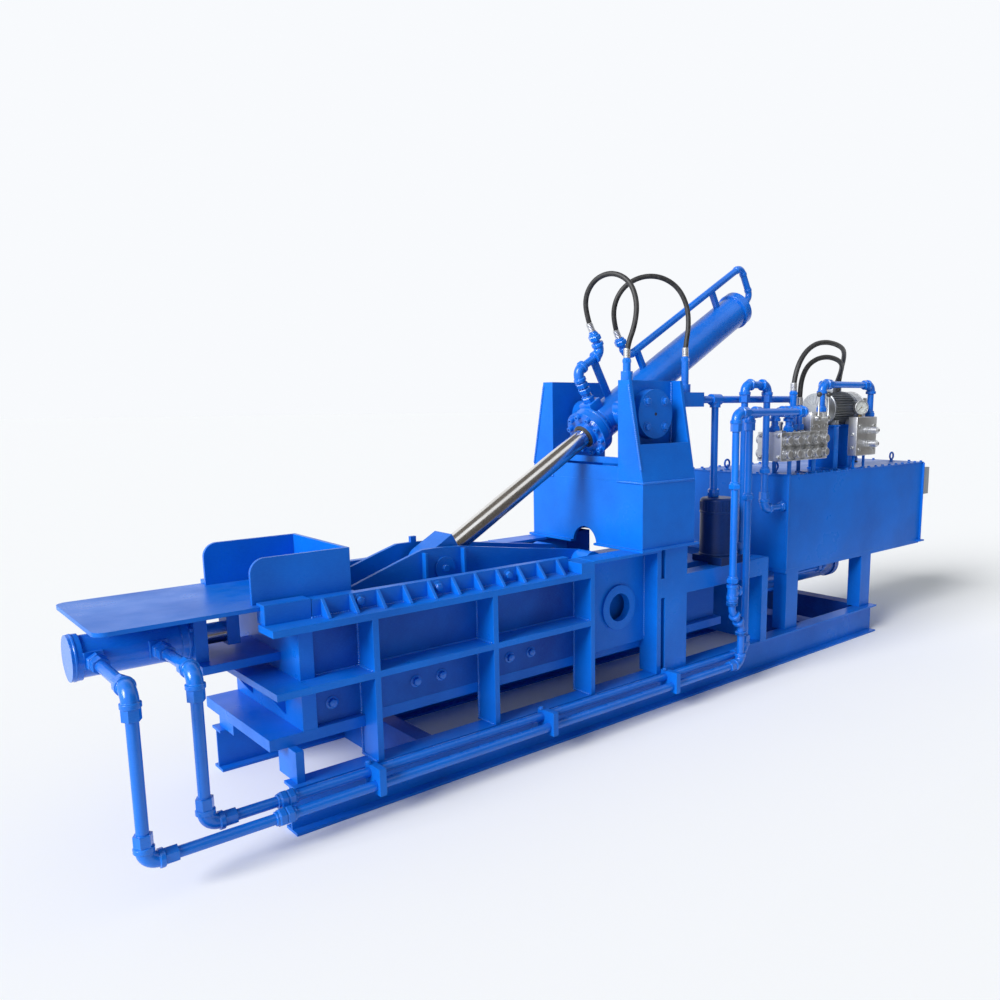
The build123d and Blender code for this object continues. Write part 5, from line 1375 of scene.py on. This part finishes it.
case = turned([(-0.004, 0.034), (-0.002, 0.046), (0.022, 0.048), (0.026, 0.050), (0.034, 0.050),
               (0.036, 0.047), (0.034, 0.0455), (0.030, 0.045), (0.020, 0.045)], sides=48)
case.data.transform(Matrix.Translation((0, 0, -0.030)))
gauge_case = settle(case, "gauge_case", alloy, matrix=ON_DIAL)
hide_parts("pressure_gauge")
dial = turned([(-0.004, 0.044), (-0.0035, 0.0445), (-0.003, 0.0440)], sides=48)
settle(dial, "gauge_dial", dial_face, matrix=ON_DIAL)
pane = turned([(0.0020, 0.0445), (0.0030, 0.0445), (0.0032, 0.0440)], sides=48)
settle(pane, "gauge_pane", glass, matrix=ON_DIAL)
stem = turned([(0.0, 0.012), (0.004, 0.0135), (0.016, 0.0135), (0.020, 0.008), (0.034, 0.008)],
              sides=6)
settle(stem, "gauge_stem", bronze, matrix=facing(at(4121, -408, 1556), UP))
print("gauge is", round(gauge_case.dimensions.z, 3), "m high")

# %% [markdown]
# ## The gauge's scale and needle
# The scale is a fan of ticks over three quarters of a turn, one thin block turned to each
# place. The black needle rests on the stop at one end of it and turns on a brass pivot.
# Nothing is lettered on the dial.

# %% Ticks, needle and pivot
TICKS = 21
SCALE_START = -135
SCALE_STEP = 13.5

tick = block((-0.0006, 0.034, -0.003), (0.0006, 0.041, -0.0022), bevel=0)
ticks = copies(tick, [ON_DIAL @ Matrix.Rotation(radians(SCALE_START + index * SCALE_STEP), 4, "Z")
                      for index in range(TICKS)])
scrap(tick)
needle = block((-0.0010, -0.010, -0.0022), (0.0010, 0.034, -0.0012), bevel=0.0003, segments=1)
needle.data.transform(ON_DIAL @ Matrix.Rotation(radians(-SCALE_START), 4, "Z"))
settle(join(ticks + [needle]), "gauge_scale_and_needle", black_plastic)
pivot = turned([(-0.002, 0.004), (0.0005, 0.004), (0.001, 0.003)], sides=16)
settle(pivot, "gauge_pivot", bronze, matrix=ON_DIAL)
print("ticks", TICKS)

# %% [markdown]
# ## The valve bank
# Five sliding-spool valves are clamped into one block. Every section shows a spool cap with
# four screws on its near and its far face. The small forms of this block can't be made out in
# the photograph, so they are the usual ones of such valves. One cap is turned, gets its
# screws, and is copied.

# %% Spool caps
BANK_FRONT, BANK_REAR = 3163, 3678
BANK_NEAR, BANK_FAR = -440, -260
BANK_FLOOR, BANK_TOP = 1300, 1480
SECTIONS = 5
SECTION = (BANK_REAR - BANK_FRONT) / SECTIONS
SPOOL_HEIGHTS = (1345, 1430)
CAP_CIRCLE = 0.031

cap = turned([(0.0, 0.034), (0.004, 0.036), (0.012, 0.036), (0.014, 0.026), (0.030, 0.026),
              (0.034, 0.022)], sides=28)
cap_bolt = cap_screw(0.010, 0.006)
cap_screws = copies(cap_bolt, [Matrix.Translation((CAP_CIRCLE * cos(a), CAP_CIRCLE * sin(a), 0.011))
                               for a in (pi / 4, 3 * pi / 4, 5 * pi / 4, 7 * pi / 4)])
cap = join([cap] + cap_screws)
cap_places = []
for index in range(SECTIONS):
    x = BANK_FRONT + (index + 0.5) * SECTION
    for z in SPOOL_HEIGHTS:
        cap_places.append(facing(at(x, BANK_NEAR, z), NEAR))
        cap_places.append(facing(at(x, BANK_FAR, z), FAR))
spool_caps = settle(join(copies(cap, cap_places)), "spool_caps", alloy)
for model in (cap_bolt, cap):
    scrap(model)
print("spool caps", len(cap_places))

# %% [markdown]
# ## The valves' bodies
# Each section is a cast block of its own, one millimetre short of the next, so the joints show
# as fine lines. A pressure block with a cover sits on the rear ones, and the manifold beside
# the motor is a single machined block. They take the place of two plain CAD solids.

# %% Valve sections and manifold
bank = []
for index in range(SECTIONS):
    left = BANK_FRONT + index * SECTION
    bank.append(block(at(left, BANK_NEAR, BANK_FLOOR), at(left + SECTION - 1, BANK_FAR, BANK_TOP),
                      bevel=0.005, segments=3))
bank.append(block(at(3480, BANK_NEAR, BANK_TOP - 2), at(BANK_REAR, BANK_FAR, 1600),
                  bevel=0.006, segments=3))
bank.append(block(at(3492, BANK_NEAR - 3, 1520), at(BANK_REAR - 12, BANK_NEAR + 2, 1592),
                  bevel=0.002))
valve_body = settle(join(bank), "valve_sections", alloy)
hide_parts("valve_bank")
manifold_body = block(at(4034, -442, 1297), at(4293, -374, 1560), bevel=0.005, segments=3)
manifold = settle(manifold_body, "manifold_block", alloy)
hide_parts("pump_manifold")
print("blocks of the valve bank", len(bank))

# %% [markdown]
# ## The legs under valves and manifold
# Both blocks stand clear of the tank's lid on small frames of flat bar: a foot plate and two
# uprights each, and a top plate under the manifold. They are plain blocks, listed corner by
# corner.

# %% Legs
TANK_FRONT = 3306
MANIFOLD_LEGS = [((4084, -397, TANK_TOP), (4243, -374, 1212)),
                 ((4090, -394, 1210), (4104, -378, BANK_FLOOR)),
                 ((4223, -394, 1210), (4237, -378, BANK_FLOOR)),
                 ((4088, -393, 1290), (4239, -376, BANK_FLOOR))]

leg_plates = []
for x in (TANK_FRONT, BANK_REAR - 100):
    leg_plates += [((x, -397, TANK_TOP), (x + 50, -263, 1212)),
                   ((x + 6, -391, 1210), (x + 44, -383, BANK_FLOOR + 2)),
                   ((x + 6, -277, 1210), (x + 44, -269, BANK_FLOOR + 2))]
leg_plates += MANIFOLD_LEGS
legs = [block(at(*low), at(*high), bevel=0.002) for low, high in leg_plates]
valve_legs = settle(join(legs), "valve_legs", blue)
print("leg plates", len(legs))

# %% [markdown]
# ## Ribs and tie rods
# A cast rib stiffens each section in the middle and at the foot, and a low pad lies on top.
# Four long rods clamp the sections together; only their nuts are seen, at both ends.

# %% Ribs and tie-rod nuts
TIE_INSET = 24
TIE_HEIGHTS = (1324, 1460)

ribs = []
for index in range(SECTIONS):
    left = BANK_FRONT + index * SECTION + 8
    right = left + SECTION - 14
    for low, high, bevel in (
            ((left, BANK_NEAR - 5, 1384), (right, BANK_FAR + 5, 1392), 0.002),
            ((left, BANK_NEAR - 4, 1306), (right, BANK_FAR + 4, 1312), 0.002),
            ((left + 20, BANK_NEAR + 20, 1476), (right - 20, BANK_FAR - 60, 1488), 0.004)):
        ribs.append(block(at(*low), at(*high), bevel=bevel))
settle(join(ribs), "valve_ribs", cast)
tie_nut = union_nut(0.024, 0.014, 0.006)
ties = [facing(at(x, y, z), direction) for x, direction in ((BANK_FRONT, FRONT), (BANK_REAR, REAR))
        for y in (BANK_NEAR + TIE_INSET, BANK_FAR - TIE_INSET) for z in TIE_HEIGHTS]
tie_nuts = settle(join(copies(tie_nut, ties)), "tie_rod_nuts", zinc)
scrap(tie_nut)
print("ribs", len(ribs), "tie-rod nuts", len(ties))

# %% [markdown]
# ## Relief caps and plugs
# A relief valve on top of each of four sections limits its pressure; its hexagon cap covers
# the setting screw. Drilled channels that aren't used are closed by socket plugs. A plug is
# the cap screw again, wide and low.

# %% Relief caps and plugs
RELIEF_XS = (3190, 3270, 3350, 3430)
MANIFOLD_NEAR = -442
MANIFOLD_FRONT = 4034

relief = turned([(0.0, 0.018), (0.008, 0.018), (0.010, 0.013), (0.040, 0.013), (0.042, 0.017),
                 (0.056, 0.017), (0.060, 0.013)], sides=6)
relief_places = [facing(at(x, -300, BANK_TOP), UP) for x in RELIEF_XS]
settle(join(copies(relief, relief_places)), "relief_caps", zinc)
scrap(relief)

block_plug = cap_screw(0.026, 0.008)
plugs = [facing(at(x, BANK_NEAR, 1508), NEAR) for x in (3500, 3580, 3655)]
plugs += [facing(at(x, MANIFOLD_NEAR, z), NEAR) for x in (4070, 4255) for z in (1340, 1500)]
plugs += [facing(at(MANIFOLD_FRONT, -408, z), FRONT) for z in (1350, 1440)]
settle(join(copies(block_plug, plugs)), "block_plugs", zinc)
scrap(block_plug)
print("relief caps", len(relief_places), "plugs", len(plugs))

# %% [markdown]
# ## Cartridge valves
# Two cartridge valves are screwed into the manifold's near face, one above the other. A
# cartridge is a stack of short cylinders round one axis, which is just what turning makes.

# %% Cartridge valves on the manifold
CARTRIDGE_HEIGHTS = (1470, 1380)

cartridge = turned([(0.0, 0.022), (0.006, 0.024), (0.018, 0.024), (0.022, 0.017), (0.034, 0.017),
                    (0.038, 0.0225), (0.078, 0.0225), (0.082, 0.019), (0.092, 0.010)], sides=32)
cartridges = copies(cartridge, [facing(at(4160, MANIFOLD_NEAR, z), NEAR)
                                for z in CARTRIDGE_HEIGHTS])
scrap(cartridge)
settle(join(cartridges), "cartridge_valves", alloy)
print("cartridges", len(CARTRIDGE_HEIGHTS))

# %% [markdown]
# ## Hand levers
# Two levers work the lid and the ram. Each is a tapered rod screwed into a forged hub and
# ends in a ball of black plastic that the hand pushes. Each lever tilts on its own, so rod and
# knob ride on the lever's body and stand in place of the CAD lever.

# %% Levers on their pivots
LEVERS = ((1, 3530), (2, 3640))
HUB_FACE_Y = -441
LEVER_Y = -459
PIVOT_Z = 1560
KNOB_Z = 1710

for number, x in LEVERS:
    body = "lever_%d" % number
    hub = turned([(0.0, 0.014), (0.002, 0.018), (0.026, 0.018), (0.030, 0.013), (0.032, 0.008)],
                 sides=32)
    hub.data.transform(facing(at(x, HUB_FACE_Y, PIVOT_Z), NEAR))
    rod = turned([(0.010, 0.009), (0.018, 0.009), (0.022, 0.0075), (0.130, 0.0058),
                  (0.140, 0.0058)], sides=20)
    rod.data.transform(facing(at(x, LEVER_Y, PIVOT_Z), UP))
    lever = settle(join([hub, rod]), "lever_rod_%d" % number, zinc, body)
    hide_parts("valve_lever_%d" % number)
    clear_selection()
    bpy.ops.mesh.primitive_uv_sphere_add(segments=28, ring_count=16, radius=0.017,
                                         location=at(x, LEVER_Y, KNOB_Z))
    settle(bpy.context.object, "lever_knob_%d" % number, black_plastic, body, angle=60)
    print("lever", number, "is", round(lever.dimensions.z, 3), "m high")

# %% [markdown]
# ## The tank's lid, lips and feet
# The oil tank is folded from sheet. Its lid overhangs a little, the sheet's edges stand out as
# upright lips at the corners, and feet carry the rear end. The near and the far side mirror
# each other, so each block is written once and its sides are swapped by a helper.

# %% Tank lid, lips and feet
LIP_BLOCKS = (((3299, 396, 600), (3309, 412, 1198), 0.002),
              ((5080, 396, 600), (5090, 420, 1198), 0.002),
              ((5040, 380, 588), (5118, 436, 600), 0.003))


def sided_block(side, low, high, bevel):
    """A block of the far side, or its mirror image on the near side."""
    near, far = sorted((side * low[1], side * high[1]))
    return block(at(low[0], near, low[2]), at(high[0], far, high[2]), bevel=bevel)


lid_sheet = block(at(3300, -409, 1197), at(5094, 409, TANK_TOP), bevel=0.001)
settle(lid_sheet, "tank_lid", blue_long)
lips = [sided_block(side, *lip) for side in (-1, 1) for lip in LIP_BLOCKS]
tank_lips = settle(join(lips), "tank_lips_and_feet", blue)
print("lips and feet", len(lips))

# %% [markdown]
# ## The lid's screws
# Small hexagon bolts hold the lid all round, because the tank has to keep dust out of the oil.
# They stand at an even pitch down both long sides and a little wider across the ends.

# %% Tank lid screws
SCREW_PITCH = 97
SCREWS_ALONG = 19
LID_SCREW_FRONT, LID_SCREW_REAR = 3322, 5068
SCREWS_ACROSS = (-300, -150, 0, 150, 300)

lid_spots = [(LID_SCREW_FRONT + step * SCREW_PITCH, y)
             for step in range(SCREWS_ALONG) for y in (-396, 396)]
lid_spots += [(x, y) for y in SCREWS_ACROSS for x in (LID_SCREW_FRONT, LID_SCREW_REAR)]
screw_spots = [facing(at(x, y, TANK_TOP), UP) for x, y in lid_spots]
tank_screws = settle(join(copies(bolt_small, screw_spots)), "tank_lid_screws", blue_pipe)
print("tank lid screws", len(lid_spots))

# %% [markdown]
# ## Breather, crane eyes and drain plug
# A knurled breather closes the filler, four eyes let a crane lift the tank and one more lifts
# the motor. An eye is a torus on a turned foot. A hexagon plug at the bottom lets old oil out.

# %% Breather, lifting eyes and drain plug
breather = turned([(0.0, 0.064), (0.010, 0.064), (0.014, 0.056), (0.030, 0.056), (0.034, 0.060),
                   (0.052, 0.060), (0.058, 0.054), (0.062, 0.030)], sides=40)
settle(breather, "tank_breather", black_plastic, matrix=facing(at(4700, 0, TANK_TOP), UP),
       angle=25)
clear_selection()
bpy.ops.mesh.primitive_torus_add(major_radius=0.026, minor_radius=0.007, major_segments=32,
                                 minor_segments=12, rotation=(PI_HALF, 0, 0))
eye_ring = bpy.context.object
bpy.ops.object.transform_apply(rotation=True)
eye_ring.data.transform(Matrix.Translation((0, 0, 0.042)))
eye_foot = turned([(0.0, 0.020), (0.004, 0.020), (0.008, 0.011), (0.020, 0.010)], sides=24)
eye = join([eye_ring, eye_foot])
eye_places = [at(x, y, TANK_TOP) for x in (3450, 4980) for y in (200, -200)]
eye_places.append(motor_point(3880, 0, 0.114))
eyes = copies(eye, [Matrix.Translation(place) for place in eye_places])
scrap(eye)
settle(join(eyes), "lifting_eyes", blue_pipe)
drain = union_nut(0.036, 0.014, 0.010)
settle(drain, "tank_drain_plug", zinc, matrix=facing(at(5000, -250, 599), DOWN))
print("lifting eyes", len(eye_places))

# %% [markdown]
# ## The limit-switch box
# A grey plastic box takes the wires of the limit switches. The CAD box stays; its lid is a
# bevelled block let into one face, with a screw in each corner, and two cable glands hang
# below. All their places come from the box's own measures.

# %% Limit-switch box
BOX_RIM = 0.006
BOX_SCREW_INSET = 0.014

box_low, box_high = low_high("limit_box")
box_lid = block((box_high.x - 0.012, box_low.y + BOX_RIM, box_low.z + BOX_RIM),
                (box_high.x, box_high.y - BOX_RIM, box_high.z - BOX_RIM), bevel=0.004, segments=3)
box_screws = copies(screw_small, [
    facing((box_high.x - 0.010, y, z), REAR)
    for y in (box_low.y + BOX_SCREW_INSET, box_high.y - BOX_SCREW_INSET)
    for z in (box_low.z + BOX_SCREW_INSET, box_high.z - BOX_SCREW_INSET)])
settle(join([box_lid] + box_screws), "limit_box_lid", grey_plastic)
box_gland = union_nut(0.028, 0.014, 0.006)
gland_places = [facing((box_low.x + 0.06, box_low.y + along, box_low.z), DOWN)
                for along in (0.045, 0.105)]
settle(join(copies(box_gland, gland_places)), "limit_box_glands", black_plastic)
scrap(box_gland)
print("box screws", len(box_screws), "glands", len(gland_places))

# %% [markdown]
# ## The filter
# The return filter is a painted canister with a rolled bead at its foot and a ribbed spin-on
# cap, standing on the beam beside the ram. The CAD canister stays. The beads are turned
# rings round it, and one small grip is copied round the cap.

# %% Filter beads and cap
FILTER_X, FILTER_Y = 2690, -330
BEAD_HEIGHTS = (770, 1020)
GRIPS = 30

filter_parts = []
for z in BEAD_HEIGHTS:
    ring = turned([(0.0, 0.099), (0.004, 0.1035), (0.012, 0.1035), (0.016, 0.099)], sides=48)
    ring.data.transform(facing(at(FILTER_X, FILTER_Y, z), UP))
    filter_parts.append(ring)
grip = block((-0.003, 0.097, 1.040), (0.003, 0.1025, 1.090), bevel=0.0012, segments=1)
canister_axis = Matrix.Translation(at(FILTER_X, FILTER_Y, 0))
grips = copies(grip, [canister_axis @ Matrix.Rotation(index * 2 * pi / GRIPS, 4, "Z")
                      for index in range(GRIPS)])
scrap(grip)
settle(join(filter_parts + grips), "filter_bands", dark_paint)
print("filter grips", len(grips))

# %% [markdown]
# ## The clamps' bolts and the lock cylinder's rings
# Three clamps hold the long pipes to the base, each with a bolt on top, and four bolts hold the
# lock cylinder's mount. The lock cylinder is closed at both ends by a screwed ring, slightly
# wider than its tube.

# %% Clamp bolts, mount bolts and lock cylinder rings
CLAMP_XS = (300, 1210, 2080)
RING_XS = (-622, -232)

clamp_bolts = [facing(at(x, -478, 224), UP) for x in CLAMP_XS]
mount_bolts = [facing(at(-215, y, z), FRONT) for y in (-78, 78) for z in (660, 800)]
settle(join(copies(bolt_small, clamp_bolts + mount_bolts)), "clamp_and_mount_bolts", blue_pipe)
cap_ring = turned([(0.0, 0.086), (0.004, 0.090), (0.010, 0.090), (0.014, 0.084)], sides=48)
lock_rings = copies(cap_ring, [facing(at(x, 0, 752), REAR) for x in RING_XS])
scrap(cap_ring)
print("clamp bolts", len(clamp_bolts), "mount bolts", len(mount_bolts), "rings", len(lock_rings))
settle(join(lock_rings), "lock_cylinder_rings", blue_pipe)

# %% [markdown]
# ## Clearing the bench
# The models that were copied have done their work. They are removed, so that no mesh is left
# in the scene beside the machine.

# %% Removing the models
MODELS = (elbow, slim_elbow, port_nut, bolt_large, bolt_small, screw_large, screw_small)
for model in MODELS:
    scrap(model)
print("models removed", len(MODELS))

# %% [markdown]
# ## The end
# The selection is cleared, so that nothing is left selected. The dressed machine has to
# stay in the box that its solids fill.

# %% Clearing the selection
clear_selection()
